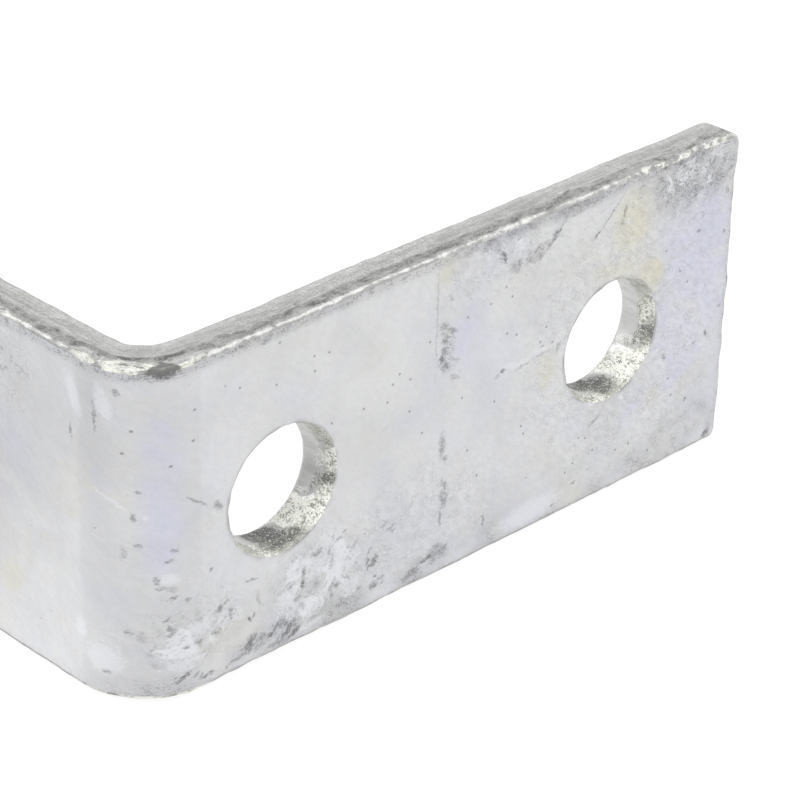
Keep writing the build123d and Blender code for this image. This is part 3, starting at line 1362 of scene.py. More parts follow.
class Effects:
    """The shader groups that the bracket's finishes share."""

    def __init__(self) -> None:
        """Builds every group once."""
        self.tone = self._tone()
        self.grain = self._grain()
        self.pinholes = self._pinholes()
        self.flakes = self._flakes()
        self.scuffs = self._scuffs()
        self.hairlines = self._hairlines()
        self.speckle = self._speckle()

    @staticmethod
    def _open(name: str, inputs: dict[str, Any], outputs: dict[str, str]) -> tuple[Wiring, dict, dict]:
        """Starts a group.

        Args:
            name: Its name.
            inputs: Its inputs, each with a default: a tuple for a vector, a number otherwise.
            outputs: Its outputs, each with "Color" or "Float".

        Returns:
            The group's wiring, its inputs' sockets and the sockets that its outputs read.
        """
        tree = bpy.data.node_groups.new(name, "ShaderNodeTree")
        for key, default in inputs.items():
            kind = "NodeSocketVector" if isinstance(default, tuple) else "NodeSocketFloat"
            made = tree.interface.new_socket(name=key, in_out="INPUT", socket_type=kind)
            made.default_value = default
        for key, kind in outputs.items():
            tree.interface.new_socket(name=key, in_out="OUTPUT", socket_type="NodeSocket" + kind)
        source = tree.nodes.new("NodeGroupInput")
        sink = tree.nodes.new("NodeGroupOutput")
        return Wiring(tree), {k: source.outputs[k] for k in inputs}, {k: sink.inputs[k] for k in outputs}

    def _tone(self) -> bpy.types.NodeTree:
        """Soft clouds of violet and cream in the zinc."""
        wires, given, out = self._open(
            "zinc_tone", {"Place": (0.0, 0.0, 0.0), "Violet": 0.0, "Cream": 0.0}, {"Colour": "Color"}
        )
        wide = wires.cloud(given["Place"], 0.055, 2.0, 0.6, 0.6)
        small = wires.cloud(given["Place"], 0.21, 3.0, 0.6, 1.0)
        drift = wires.plus(wires.times(wide, 0.6), wires.times(small, 0.4))
        wobble = wires.span(small, 0.25, 0.75, 0.45, 1.25)
        violet = wires.span(drift, 0.49, 0.66, 0.0, 0.42)
        violet = wires.plus(violet, wires.times(given["Violet"], wobble), clamp=True)
        cream = wires.span(drift, 0.47, 0.33, 0.0, 0.30)
        cream = wires.plus(cream, wires.times(given["Cream"], wobble), clamp=True)
        colour = wires.blend(violet, (0.655, 0.657, 0.663), (0.613, 0.619, 0.704))
        colour = wires.blend(cream, colour, (0.650, 0.634, 0.540))
        shade = wires.span(wires.cloud(given["Place"], 0.12, 4.0, 0.6, 0.5), 0.3, 0.7, 0.955, 1.03)
        tinted = wires.vector("SCALE", colour, shade)
        wires.feed(out["Colour"], tinted)
        return wires.tree

    def _grain(self) -> bpy.types.NodeTree:
        """Fine slanting grain of the coat."""
        wires, given, out = self._open(
            "coat_grain", {"Place": (0.0, 0.0, 0.0)}, {"Shade": "Float", "Height": "Float"}
        )
        slant = wires.cloud(wires.stretch(given["Place"], (0.75, 1.5, 1.2), 38.0), 1.0, 5.0, 0.68, 0.4)
        fine = wires.cloud(given["Place"], 2.8, 2.0, 0.6)
        both = wires.plus(wires.times(slant, 0.7), wires.times(fine, 0.3))
        wires.feed(out["Shade"], wires.span(both, 0.36, 0.64, 0.925, 1.045))
        wires.feed(out["Height"], both)
        return wires.tree

    def _pinholes(self) -> bpy.types.NodeTree:
        """Scattered pinholes in two sizes, one to a cell at most."""
        wires, given, out = self._open(
            "pinholes", {"Place": (0.0, 0.0, 0.0), "Share": 0.25}, {"Mask": "Float"}
        )
        masks = []
        for scale, least, most, strength in ((0.42, 0.03, 0.085, 1.0), (1.1, 0.06, 0.16, 0.4)):
            cells = wires.node("TexVoronoi", feature="F1")
            wires.feed(cells.inputs["Vector"], given["Place"])
            cells.inputs["Scale"].default_value = scale
            parts = wires.node("SeparateColor")
            wires.feed(parts.inputs[0], cells.outputs["Color"])
            size = wires.span(parts.outputs[1], 0.0, 1.0, least, most)
            spot = wires.span(cells.outputs["Distance"], size, wires.times(size, 0.4))
            chosen = wires.calculate("LESS_THAN", parts.outputs[0], given["Share"])
            masks.append(wires.times(wires.times(spot, chosen), strength))
        wires.feed(out["Mask"], wires.most(*masks))
        return wires.tree

    def _flakes(self) -> bpy.types.NodeTree:
        """Pale flaky patches with broken dark outlines."""
        wires, given, out = self._open(
            "flaky_coat", {"Place": (0.0, 0.0, 0.0), "Amount": 0.0}, {"Pale": "Float", "Outline": "Float"}
        )
        patches = wires.cloud(given["Place"], 0.30, 5.0, 0.60, 0.6)
        level = wires.span(given["Amount"], 0.0, 1.0, 0.70, 0.46)
        over = wires.minus(patches, level)
        wires.feed(out["Pale"], wires.span(over, -0.03, 0.07))
        band = wires.span(wires.unsigned(wires.plus(over, 0.02)), 0.055, 0.010)
        broken = wires.span(wires.cloud(given["Place"], 0.8, 4.0, 0.7), 0.50, 0.62)
        present = wires.span(given["Amount"], 0.05, 0.55)
        crumbs = wires.span(wires.cloud(given["Place"], 2.3, 5.0, 0.74, 0.5), 0.44, 0.36)
        lines = wires.most(wires.times(band, broken), wires.times(crumbs, 0.7))
        wires.feed(out["Outline"], wires.times(lines, present))
        return wires.tree

    def _scuffs(self) -> bpy.types.NodeTree:
        """Dark feathered scuffs that break up into slanting strokes."""
        wires, given, out = self._open(
            "scuffs", {"Place": (0.0, 0.0, 0.0), "Amount": 0.0, "Slant": 0.6}, {"Mask": "Float"}
        )
        turned = wires.node("VectorRotate", rotation_type="Z_AXIS")
        wires.feed(turned.inputs["Vector"], given["Place"])
        wires.feed(turned.inputs["Angle"], given["Slant"])
        drawn = wires.vector("MULTIPLY", turned.outputs[0], (1.0, 2.5, 1.5))
        strokes = wires.cloud(drawn, 1.25, 6.0, 0.84, 0.9)
        over = wires.minus(strokes, wires.span(given["Amount"], 0.0, 1.0, 0.66, 0.43))
        present = wires.span(given["Amount"], 0.02, 0.35)
        wires.feed(out["Mask"], wires.times(wires.span(over, -0.02, 0.19), present))
        return wires.tree

    def _hairlines(self) -> bpy.types.NodeTree:
        """Fine crinkles of the zinc: short curling lines, dark on one side with painted shade and light on
        the other with a painted highlight.
        """
        wires, given, out = self._open(
            "hairlines", {"Place": (0.0, 0.0, 0.0), "Amount": 0.0}, {"Dark": "Float", "Light": "Float"}
        )
        folds = wires.cloud(given["Place"], 0.95, 4.0, 0.62, 1.6)
        shown = wires.span(wires.cloud(given["Place"], 0.7, 3.0, 0.65), 0.47, 0.56)
        shown = wires.times(shown, given["Amount"])
        dark = wires.span(wires.unsigned(wires.minus(folds, 0.485)), 0.036, 0.008)
        light = wires.span(wires.unsigned(wires.minus(folds, 0.522)), 0.030, 0.008)
        wires.feed(out["Dark"], wires.times(dark, shown))
        wires.feed(out["Light"], wires.times(light, shown))
        return wires.tree

    def _speckle(self) -> bpy.types.NodeTree:
        """Rough zinc of rims and torn metal: light flecks, dark pores and relief."""
        wires, given, out = self._open(
            "rough_speckle",
            {"Place": (0.0, 0.0, 0.0), "Amount": 0.0},
            {"Light": "Float", "Dark": "Float", "Height": "Float"},
        )
        coarse = wires.cloud(given["Place"], 1.1, 4.0, 0.7, 0.3)
        fine = wires.cloud(given["Place"], 4.4, 2.0, 0.6)
        both = wires.plus(wires.times(coarse, 0.45), wires.times(fine, 0.55))
        wires.feed(out["Light"], wires.times(wires.span(both, 0.51, 0.57), given["Amount"]))
        wires.feed(out["Dark"], wires.times(wires.span(both, 0.475, 0.435), given["Amount"]))
        wires.feed(out["Height"], wires.times(both, given["Amount"]))
        return wires.tree


@dataclass(frozen=True)
class Finish:
    """What the bracket's finishes have in common."""

    effects: Effects
    plan: FoldPlan
    name: str

    def _start(self) -> tuple[bpy.types.Material, Wiring, bpy.types.Node, dict[str, Socket]]:
        """Starts a material on the painted attributes.

        Returns:
            The material, its wiring, its shader, and the sockets that carry what was painted.
        """
        material = bpy.data.materials.new(self.name)
        material.use_nodes = True
        wires = Wiring(material.node_tree)
        shader = material.node_tree.nodes["Principled BSDF"]
        painted: dict[str, Socket] = {}
        for attribute, names in PAINTED.items():
            read = wires.node("Attribute", attribute_name=attribute)
            painted[attribute] = read.outputs["Vector"]
            parts = wires.node("SeparateXYZ")
            wires.feed(parts.inputs[0], read.outputs["Vector"])
            painted.update(zip(names, parts.outputs))
        return material, wires, shader, painted

    @staticmethod
    def _bump(wires: Wiring, shader: bpy.types.Node, height: Socket) -> None:
        """Feeds the shader's normal from a height in millimetres.

        Args:
            wires: The material's wiring.
            shader: The shader.
            height: The height.
        """
        bump = wires.node("Bump")
        bump.inputs["Distance"].default_value = MM
        wires.feed(bump.inputs["Height"], height)
        wires.feed(shader.inputs["Normal"], bump.outputs["Normal"])


@dataclass(frozen=True)
class CoatFinish(Finish):
    """The zinc coat of a broad side, with listed marks where any are given."""

    marks: Sequence[Mark] = ()
    pale_marks: Sequence[Mark] = ()
    pinholes: Sequence[tuple[float, float]] = ()
    pale: Colour = (0.75, 0.755, 0.782)
    glint: Colour = (0.78, 0.785, 0.80)
    dark: Colour = (0.22, 0.22, 0.23)
    scuffed: Colour = (0.24, 0.24, 0.25)
    roughness: float = 0.50

    def _nearest(self, wires: Wiring, level: Socket, marks: Sequence[Mark]) -> Socket | float:
        """Distance from the nearest of some marks, as a share of its own half size.

        Args:
            wires: The material's wiring.
            level: Coordinates on the flat bar, without the height.
            marks: The marks.

        Returns:
            The distance, 1 on a mark's rim.
        """
        nearest: Socket | float = 9.0
        for mark in marks:
            local = wires.node("Mapping", vector_type="TEXTURE")
            wires.feed(local.inputs["Vector"], level)
            local.inputs["Location"].default_value = (self.plan.run_at_reach(mark.reach), mark.rise, 0.0)
            local.inputs["Rotation"].default_value = (0.0, 0.0, math.radians(mark.turn))
            local.inputs["Scale"].default_value = (mark.half_length, mark.half_width, 1.0)
            nearest = wires.least(nearest, wires.vector("LENGTH", local.outputs["Vector"]))
        return nearest

    def _placed(self, wires: Wiring, place: Socket) -> tuple[Socket, Socket]:
        """Masks of the marks and pinholes that are listed.

        Args:
            wires: The material's wiring.
            place: Coordinates on the flat bar.

        Returns:
            How dark and how pale they make the coat, from 0 to 1.
        """
        flat = wires.vector("MULTIPLY", place, (1.0, 1.0, 0.0))
        wobble = wires.node("TexNoise")
        wires.feed(wobble.inputs["Vector"], place)
        wobble.inputs["Scale"].default_value = 1.3
        wobble.inputs["Detail"].default_value = 4.0
        shift = wires.vector("SUBTRACT", wobble.outputs["Color"], (0.5, 0.5, 0.5))
        shifted = wires.vector("ADD", flat, wires.vector("SCALE", shift, 0.8))
        ragged = wires.span(wires.cloud(place, 2.4, 4.0, 0.75), 0.3, 0.7, -0.4, 0.42)
        dark: Socket | float = 0.0
        for depth in sorted({mark.depth for mark in self.marks}):
            marks = [mark for mark in self.marks if mark.depth == depth]
            far = wires.plus(self._nearest(wires, shifted, marks), ragged)
            dark = wires.most(dark, wires.times(wires.span(far, 1.35, 0.45), depth))
        crumbs = wires.span(wires.cloud(place, 4.5, 2.0, 0.7), 0.42, 0.54, 0.4, 1.0)
        dark = wires.times(dark, crumbs)
        closest: Socket | float = 9.0
        for reach, rise in self.pinholes:
            centre = (self.plan.run_at_reach(reach), rise, 0.0)
            closest = wires.least(closest, wires.vector("DISTANCE", flat, centre))
        dark = wires.most(dark, wires.span(closest, 0.23, 0.06, 0.0, 0.7))
        far = wires.plus(self._nearest(wires, shifted, self.pale_marks), ragged)
        return dark, wires.span(far, 1.35, 0.75)

    def make(self) -> bpy.types.Material:
        """Builds the material."""
        material, wires, shader, painted = self._start()
        effects, place = self.effects, painted["place"]
        tone = wires.group(effects.tone, Place=place, Violet=painted["violet"], Cream=painted["cream"])
        grain = wires.group(effects.grain, Place=place)
        pinholes = wires.group(effects.pinholes, Place=place, Share=0.35)
        flakes = wires.group(effects.flakes, Place=place, Amount=painted["flaky"])
        scuffs = wires.group(effects.scuffs, Place=place, Amount=painted["scuffed"], Slant=0.65)
        hatches = wires.group(effects.scuffs, Place=place, Amount=painted["hatched"], Slant=-0.95)
        hairs = wires.group(effects.hairlines, Place=place, Amount=painted["crinkled"])
        rim = wires.span(painted["rim"], 2.2, 0.6)
        rough_share = wires.most(rim, wires.span(painted["darkening"], 0.3, 0.9))
        speckle = wires.group(effects.speckle, Place=place, Amount=rough_share)
        strokes = wires.most(scuffs.outputs["Mask"], wires.span(hatches.outputs["Mask"], 0.15, 0.7))
        grained = wires.minus(grain.outputs["Shade"], 1.0)
        grained = wires.times(grained, wires.span(painted["crinkled"], 0.0, 1.0, 0.45, 1.5))
        shade = wires.span(painted["darkening"], 0.0, 1.0, 1.0, 0.82)
        shade = wires.times(wires.plus(grained, 1.0), shade)
        shade = wires.times(shade, wires.span(rim, 0.0, 1.0, 1.0, 0.90))
        shade = wires.times(shade, wires.span(painted["flaky"], 0.0, 1.0, 1.0, 0.97))
        shade = wires.times(shade, wires.span(painted["folded"], 0.6, 1.0, 1.0, 0.955))
        colour = wires.vector("SCALE", tone.outputs["Colour"], shade)
        pale: Socket | float = flakes.outputs["Pale"]
        holes = wires.times(pinholes.outputs["Mask"], 0.45)
        if self.marks:
            placed_dark, placed_pale = self._placed(wires, place)
            holes = wires.most(holes, placed_dark)
            pale = wires.most(pale, wires.times(placed_pale, 0.66))
        colour = wires.blend(wires.times(pale, 0.9), colour, self.pale)
        # Painted highlight and painted shade on the two sides of each crinkle
        colour = wires.blend(wires.times(hairs.outputs["Light"], 0.8), colour, self.glint)
        colour = wires.blend(wires.times(hairs.outputs["Dark"], 0.50), colour, self.scuffed)
        colour = wires.blend(wires.times(strokes, 0.85), colour, self.scuffed)
        colour = wires.blend(wires.times(flakes.outputs["Outline"], 0.50), colour, self.scuffed)
        colour = wires.blend(wires.times(speckle.outputs["Dark"], 0.72), colour, self.scuffed)
        colour = wires.blend(wires.times(painted["dark"], 0.75), colour, self.dark)
        colour = wires.blend(holes, colour, self.dark)
        # Painted light: the coat inside the U is painted up to a fifth lighter
        colour = wires.vector("SCALE", colour, wires.span(painted["bright"], 0.0, 1.0, 0.985, 1.20))
        wires.feed(shader.inputs["Base Color"], colour)
        shader.inputs["Metallic"].default_value = 0.8
        rough = wires.plus(self.roughness, wires.times(pale, 0.12))
        rough = wires.plus(rough, wires.times(holes, 0.2), clamp=True)
        wires.feed(shader.inputs["Roughness"], rough)
        height = wires.times(grain.outputs["Height"], 0.028)
        height = wires.plus(height, wires.times(flakes.outputs["Pale"], 0.03))
        height = wires.plus(height, wires.times(hairs.outputs["Light"], 0.03))
        height = wires.plus(height, wires.times(speckle.outputs["Height"], 0.14))
        self._bump(wires, shader, height)
        return material


@dataclass(frozen=True)
class EdgeFinish(Finish):
    """The bar's long edges and sheared ends: streaked along the bar, with a painted highlight along the
    rims.
    """

    base: Colour = (0.590, 0.594, 0.585)
    streak: Colour = (0.40, 0.40, 0.385)
    # Pale zinc of the back band and the flecks, and the painted highlight along the rim
    bright: Colour = (0.86, 0.865, 0.84)
    # White chalk, partly a painted highlight on the bent rim
    chalky_and_highlight: Colour = (0.85, 0.855, 0.785)
    shaded: Colour = (0.385, 0.388, 0.380)
    dark: Colour = (0.14, 0.14, 0.13)
    roughness: float = 0.46
    highlight_inset: float = 0.22
    nick_reach: float = 4.8

    def _line(self, wires: Wiring, painted: dict[str, Socket]) -> Socket:
        """The dark broken line along the edge, which moves away from the inside in a fold.

        Args:
            wires: The material's wiring.
            painted: What was painted, and the patterns that the finish adds to it.

        Returns:
            Its mask.
        """
        folded = painted["folded"]
        middle = wires.span(folded, 0.0, 1.0, 1.2, 2.95)
        off = wires.unsigned(wires.minus(painted["depth"], middle))
        outer = wires.span(folded, 0.0, 1.0, 0.95, 1.7)
        core = wires.span(folded, 0.0, 1.0, 0.35, 0.8)
        line = wires.span(off, outer, core)
        least = wires.span(folded, 0.0, 1.0, 0.35, 0.45)
        line = wires.times(line, wires.span(painted["blotches"], 0.42, 0.60, 1.0, least))
        return wires.times(line, wires.span(painted["crinkled"], 0.0, 1.0, 1.0, 0.5))

    def _rim(self, wires: Wiring, painted: dict[str, Socket]) -> Socket:
        """The painted highlight: a bright broken line where the edge meets the inside.

        Args:
            wires: The material's wiring.
            painted: What was painted, and the patterns that the finish adds to it.

        Returns:
            Its mask.
        """
        off = wires.unsigned(wires.plus(painted["height"], self.plan.thickness / 2 - self.highlight_inset))
        rim = wires.span(wires.plus(off, wires.times(painted["wander"], 0.25)), 0.19, 0.05)
        gaps = wires.span(painted["worn"], 0.0, 1.0, 0.38, 0.48)
        return wires.times(rim, wires.span(painted["blotches"], gaps, 0.54))

    def _chalk_and_highlight(self, wires: Wiring, painted: dict[str, Socket]) -> Socket:
        """The cracked white chalk on worn stretches, thickest in the middle of a fold, partly a painted
        highlight on the bent rim.

        Args:
            wires: The material's wiring.
            painted: What was painted, and the patterns that the finish adds to it.

        Returns:
            Its mask.
        """
        folded, blotches = painted["folded"], painted["blotches"]
        past_middle = wires.minus(painted["distance"], self.plan.root_run + self.plan.fold_run / 2)
        thick = wires.times(folded, wires.span(past_middle, 0.4, 2.4, 1.0, 0.0))
        thick = wires.times(thick, wires.span(past_middle, -3.6, -1.8, 0.2, 1.0))
        reach = wires.span(thick, 0.3, 1.0, 0.75, 2.4)
        chalk_and_highlight = wires.span(painted["depth"], reach, 0.3)
        chalk_and_highlight = wires.plus(chalk_and_highlight, wires.span(blotches, 0.35, 0.65, -0.6, 0.6))
        chalk_and_highlight = wires.plus(chalk_and_highlight, wires.span(folded, 0.0, 0.6, -0.42, -0.08))
        chalk_and_highlight = wires.times(wires.span(chalk_and_highlight, 0.42, 0.72), painted["worn"])
        cracks = wires.unsigned(wires.minus(blotches, 0.52))
        return wires.times(chalk_and_highlight, wires.span(cracks, 0.004, 0.035, 0.35, 1.0))

    def _nick(self, wires: Wiring, painted: dict[str, Socket]) -> Socket:
        """The dark nick in the upper rim of the right fold.

        Args:
            wires: The material's wiring.
            painted: What was painted, and the patterns that the finish adds to it.

        Returns:
            Its mask.
        """
        off = wires.unsigned(wires.minus(painted["run"], self.plan.run_at_reach(self.nick_reach)))
        nick = wires.span(wires.plus(off, painted["depth"]), 1.5, 1.15)
        return wires.times(nick, wires.span(painted["rise"], 30.0, 36.0))

    def make(self) -> bpy.types.Material:
        """Builds the material."""
        material, wires, shader, painted = self._start()
        place, folded = painted["place"], painted["folded"]
        wander = wires.cloud(wires.stretch(place, (0.35, 0.35, 0.1)), 1.0, 4.0, 0.65)
        wander = wires.span(wander, 0.3, 0.7, -0.45, 0.45)
        depth = wires.plus(painted["height"], self.plan.thickness / 2)
        depth = wires.plus(depth, wires.times(wander, 0.7))
        streaks = wires.cloud(wires.stretch(place, (0.22, 0.6, 2.4)), 1.0, 5.0, 0.7, 0.4)
        blotches = wires.cloud(wires.stretch(place, (0.45, 0.45, 0.9)), 1.0, 5.0, 0.7, 0.3)
        speckle = wires.group(self.effects.speckle, Place=place, Amount=1.0)
        worn = wires.most(folded, painted["crinkled"])
        distance = wires.unsigned(painted["run"])
        painted.update(wander=wander, depth=depth, blotches=blotches, worn=worn, distance=distance)
        line = self._line(wires, painted)
        rim = self._rim(wires, painted)
        nick = self._nick(wires, painted)
        chalk_and_highlight = wires.minus(self._chalk_and_highlight(wires, painted), nick, clamp=True)
        back = wires.span(depth, 3.3, 4.2)
        fillet = wires.minus(wires.span(wires.unsigned(painted["height"]), 1.95, 2.2), rim, clamp=True)
        sheared = wires.minus(self.plan.end_run, distance)
        fillet = wires.times(fillet, wires.span(sheared, 0.4, 1.2, 0.15, 1.0))
        pits = wires.plus(wires.span(blotches, 0.46, 0.36), wires.times(worn, 0.40))
        pits = wires.times(wires.span(depth, 2.9, 1.6), wires.span(pits, 0.45, 0.95))
        colour = wires.blend(wires.span(streaks, 0.38, 0.62, 0.75, 0.0), self.base, self.streak)
        colour = wires.blend(wires.times(back, 0.30), colour, self.bright)
        colour = wires.blend(wires.times(speckle.outputs["Dark"], 0.45), colour, self.streak)
        strength = wires.span(folded, 0.0, 1.0, 0.66, 1.0)
        colour = wires.blend(wires.times(line, strength), colour, self.dark)
        colour = wires.blend(wires.times(pits, 0.70), colour, self.dark)
        colour = wires.blend(wires.times(speckle.outputs["Light"], 0.25), colour, self.bright)
        colour = wires.blend(wires.times(fillet, 0.8), colour, self.shaded)
        # White chalk in the folds, partly a painted highlight
        colour = wires.blend(wires.times(chalk_and_highlight, 0.9), colour, self.chalky_and_highlight)
        # Painted highlight along the rim
        colour = wires.blend(wires.times(rim, 0.55), colour, self.bright)
        colour = wires.blend(wires.times(nick, 0.8), colour, self.dark)
        wires.feed(shader.inputs["Base Color"], colour)
        shader.inputs["Metallic"].default_value = 0.85
        rough = wires.span(speckle.outputs["Light"], 0.0, 1.0, self.roughness, self.roughness + 0.12)
        rough = wires.plus(rough, wires.times(fillet, 0.1))
        wires.feed(shader.inputs["Roughness"], rough)
        height = wires.times(speckle.outputs["Height"], wires.span(worn, 0.0, 1.0, 0.22, 0.5))
        height = wires.plus(height, wires.times(streaks, 0.10))
        height = wires.minus(height, wires.times(line, 0.06))
        height = wires.plus(height, wires.times(chalk_and_highlight, 0.05))
        self._bump(wires, shader, height)
        return material


@dataclass(frozen=True)
class BoreFinish(Finish):
    """The holes' walls: burnished where the punch went in, torn and crusted further on, with a painted
    highlight and a painted dark reflection.
    """

    burnished: Colour = (0.66, 0.66, 0.65)
    torn: Colour = (0.68, 0.685, 0.63)
    # Painted highlight, and the bright crusts and light flecks
    bright: Colour = (0.93, 0.93, 0.87)
    # Painted dark reflection, and the dark streaks and pores
    dark: Colour = (0.085, 0.085, 0.08)
    roughness: float = 0.43

    def make(self) -> bpy.types.Material:
        """Builds the material."""
        material, wires, shader, painted = self._start()
        place = painted["place"]
        wander = wires.span(wires.cloud(place, 0.45, 3.0, 0.6), 0.25, 0.75, -0.8, 0.8)
        torn = wires.span(wires.plus(painted["height"], wander), -0.4, -1.1)
        broad = wires.cloud(place, 1.3, 4.0, 0.7, 0.3)
        fine = wires.cloud(place, 4.5, 3.0, 0.7, 0.2)
        grit = wires.plus(wires.times(broad, 0.45), wires.times(fine, 0.55))
        drift = wires.span(grit, 0.35, 0.65, -0.55, 0.55)
        # White: painted highlight with bright crusts. Black: painted dark reflection with bare metal; the
        # light flecks in it are painted glints.
        white = wires.span(wires.plus(painted["bright"], drift), 0.35, 0.65)
        black = wires.span(wires.plus(painted["dark"], drift), 0.40, 0.72)
        plain = wires.times(torn, 0.6)
        pores = wires.times(wires.span(grit, 0.495, 0.435), wires.most(white, plain))
        flecks = wires.times(wires.span(fine, 0.54, 0.62), wires.most(black, plain))
        streaks = wires.cloud(wires.stretch(place, (1.0, 1.0, 0.22)), 1.0, 4.0, 0.65)
        colour = wires.blend(torn, self.burnished, self.torn)
        colour = wires.blend(wires.span(streaks, 0.60, 0.38, 0.0, 0.16), colour, self.dark)
        colour = wires.blend(wires.times(black, 0.84), colour, self.dark)
        colour = wires.blend(wires.times(white, 0.95), colour, self.bright)
        colour = wires.blend(wires.times(pores, 0.78), colour, self.dark)
        colour = wires.blend(wires.times(flecks, 0.7), colour, self.bright)
        wires.feed(shader.inputs["Base Color"], colour)
        shader.inputs["Metallic"].default_value = 0.8
        rough = wires.span(wires.most(flecks, white), 0.0, 1.0, self.roughness, 0.50)
        wires.feed(shader.inputs["Roughness"], rough)
        coarse = wires.most(wires.most(painted["bright"], painted["dark"]), torn)
        height = wires.times(grit, wires.span(coarse, 0.0, 1.0, 0.03, 0.28))
        height = wires.plus(height, wires.times(streaks, 0.015))
        self._bump(wires, shader, height)
        return material


@dataclass
class Bracket:
    """The bracket itself: one folded, punched and galvanised flat bar."""

    plan: FoldPlan
    holes: Sequence[Hole]
    node: str = "bracket"
    strip_overlap: float = 1.2

    @classmethod
    def from_frame(cls, frame: dict[str, Any]) -> "Bracket":
        """Reads the sizes and the holes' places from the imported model.


        Returns:
            The bracket.
        """
        low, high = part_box("bracket")
        plan = FoldPlan(wing_end=high[0] / MM, depth=(high[1] - low[1]) / MM, width=high[2] / MM)
        holes = []
        for mount in frame["record"]["mounts"]:
            if mount["kind"] != "bore":
                continue
            x, _, z = (value / MM for value in mount["pos_m"])
            run = math.copysign(plan.run_at_x(abs(x)), x) if abs(x) > 1 else 0.0
            holes.append(Hole(run=run, rise=z, radius=mount["dims"]["r_mm"]))
        return cls(plan, holes)

    @staticmethod
    def _normals(places: np.ndarray, faces: np.ndarray) -> np.ndarray:
        """Smooth normals of the points, from the faces round them.

        Args:
            places: The points.
            faces: The faces.

        Returns:
            A unit vector for each point.
        """
        corners = places[faces]
        face_normals = np.cross(corners[:, 2] - corners[:, 0], corners[:, 3] - corners[:, 1])
        normals = np.zeros_like(places)
        for corner in range(4):
            np.add.at(normals, faces[:, corner], face_normals)
        return normals / np.linalg.norm(normals, axis=1)[:, None]

    def _paint(self, mesh: bpy.types.Mesh, flat: np.ndarray, wear: Weathering) -> None:
        """Stores the flat bar's coordinates, the wear and the painted light on the mesh, for the finishes.

        Args:
            mesh: The bracket's mesh.
            flat: Its points on the flat bar.
            wear: The wear.
        """
        plan = self.plan
        run, rise, height = flat.T
        rim = np.minimum(np.minimum(rise, plan.width - rise), plan.end_run + 0.8 - np.abs(run))
        rim += 0.9 * ease(2.4, 1.2, rise)
        lip = np.full(len(flat), 99.0)
        for hole in self.holes:
            lip = np.minimum(lip, np.hypot(run - hole.run, rise - hole.rise) - hole.radius)
        values = {kind.value: wear.amount(kind, flat) for kind in Wear}
        values.update(wear.crust_and_painted_light(flat, lip, self.holes))
        values.update(run=run, rise=rise, height=height, rim=rim, folded=self._folded(flat))
        for attribute, names in PAINTED.items():
            columns = np.zeros((len(flat), 3), np.float32)
            for column, name in enumerate(names):
                columns[:, column] = values[name]
            layer = mesh.attributes.new(attribute, "FLOAT_VECTOR", "POINT")
            layer.data.foreach_set("vector", columns.ravel())

    def _folded(self, flat: np.ndarray) -> np.ndarray:
        """1 in the folds at the wings' roots, on the side that they stretch, and 0 elsewhere."""
        plan = self.plan
        middle = plan.root_run + plan.fold_run / 2
        return ease(7.4, 4.2, np.abs(np.abs(flat[:, 0]) - middle)) * ease(0.0, -1.0, flat[:, 2])

    def build(self) -> bpy.types.Object:
        """Builds the mesh, paints it and gives it its finishes.

        Returns:
            The bracket's object.
        """
        flat, faces, zones = BarSurface(self.plan, self.holes).build()
        wear = Weathering(self.plan)
        relief = Relief(self.plan)
        point_zone = np.zeros(len(flat), int)
        for corner in range(4):
            np.maximum.at(point_zone, faces[:, corner], zones)
        places = self.plan.fold(*relief.shift_flat(flat).T)
        normals = self._normals(places, faces)
        places += normals * relief.lift(places, flat, point_zone, wear.amount(Wear.FLAKY, flat))[:, None]
        mesh = bpy.data.meshes.new("galvanised_bracket")
        mesh.from_pydata((places * MM).tolist(), [], faces.tolist())
        mesh.polygons.foreach_set("material_index", self._slots(flat, faces, zones))
        mesh.shade_smooth()
        self._paint(mesh, flat, wear)
        made = bpy.data.objects.new("galvanised_bracket", mesh)
        bpy.context.scene.collection.objects.link(made)
        self._dress(made)
        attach(made, "root")
        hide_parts(self.node)
        LOG.info("%s: %d points, %d faces", made.name, len(flat), len(faces))
        return made

    def _slots(self, flat: np.ndarray, faces: np.ndarray, zones: np.ndarray) -> np.ndarray:
        """Chooses a material slot for each face.

        Args:
            flat: Points on the flat bar.
            faces: The faces.
            zones: Their zones.

        Returns:
            The slots. Those past the zones are the strips of the inside with placed marks.
        """
        starts = np.array([self.plan.run_at_reach(reach) for reach in STRIP_STARTS])
        strip = np.searchsorted(starts, flat[faces].mean(axis=1)[:, 0])
        return np.where((zones == Zone.INSIDE) & (strip > 0), len(Zone) - 1 + strip, zones)

    def _dress(self, made: bpy.types.Object) -> None:
        """Gives the object one material for each zone, and one for each strip of the marked inside.

        Args:
            made: The bracket's object.
        """
        effects = Effects()
        finishes = (
            CoatFinish(effects, self.plan, "zinc_coat_inside"),
            CoatFinish(effects, self.plan, "zinc_coat_outside"),
            EdgeFinish(effects, self.plan, "zinc_edges"),
            BoreFinish(effects, self.plan, "zinc_bores"),
        )
        for finish in (*finishes, *self._strip_finishes(effects)):
            made.data.materials.append(finish.make())

    def _strip_finishes(self, effects: Effects) -> list[CoatFinish]:
        """Shares the listed marks among strips across the bar.

        Args:
            effects: The shared shader groups.

        Returns:
            One finish for each strip, with the marks that reach into it.
        """
        finishes = []
        starts = [self.plan.run_at_reach(reach) for reach in STRIP_STARTS]
        for number, (start, end) in enumerate(zip(starts, (*starts[1:], self.plan.end_run))):
            dark = self._reaching(DARK_MARKS, start, end)
            pale = self._reaching(PALE_MARKS, start, end)
            low, high = start - self.strip_overlap, end + self.strip_overlap
            pinholes = [spot for spot in PINHOLES if low < self.plan.run_at_reach(spot[0]) < high]
            name = f"zinc_coat_strip_{number}"
            finishes.append(CoatFinish(effects, self.plan, name, dark, pale, pinholes))
        return finishes

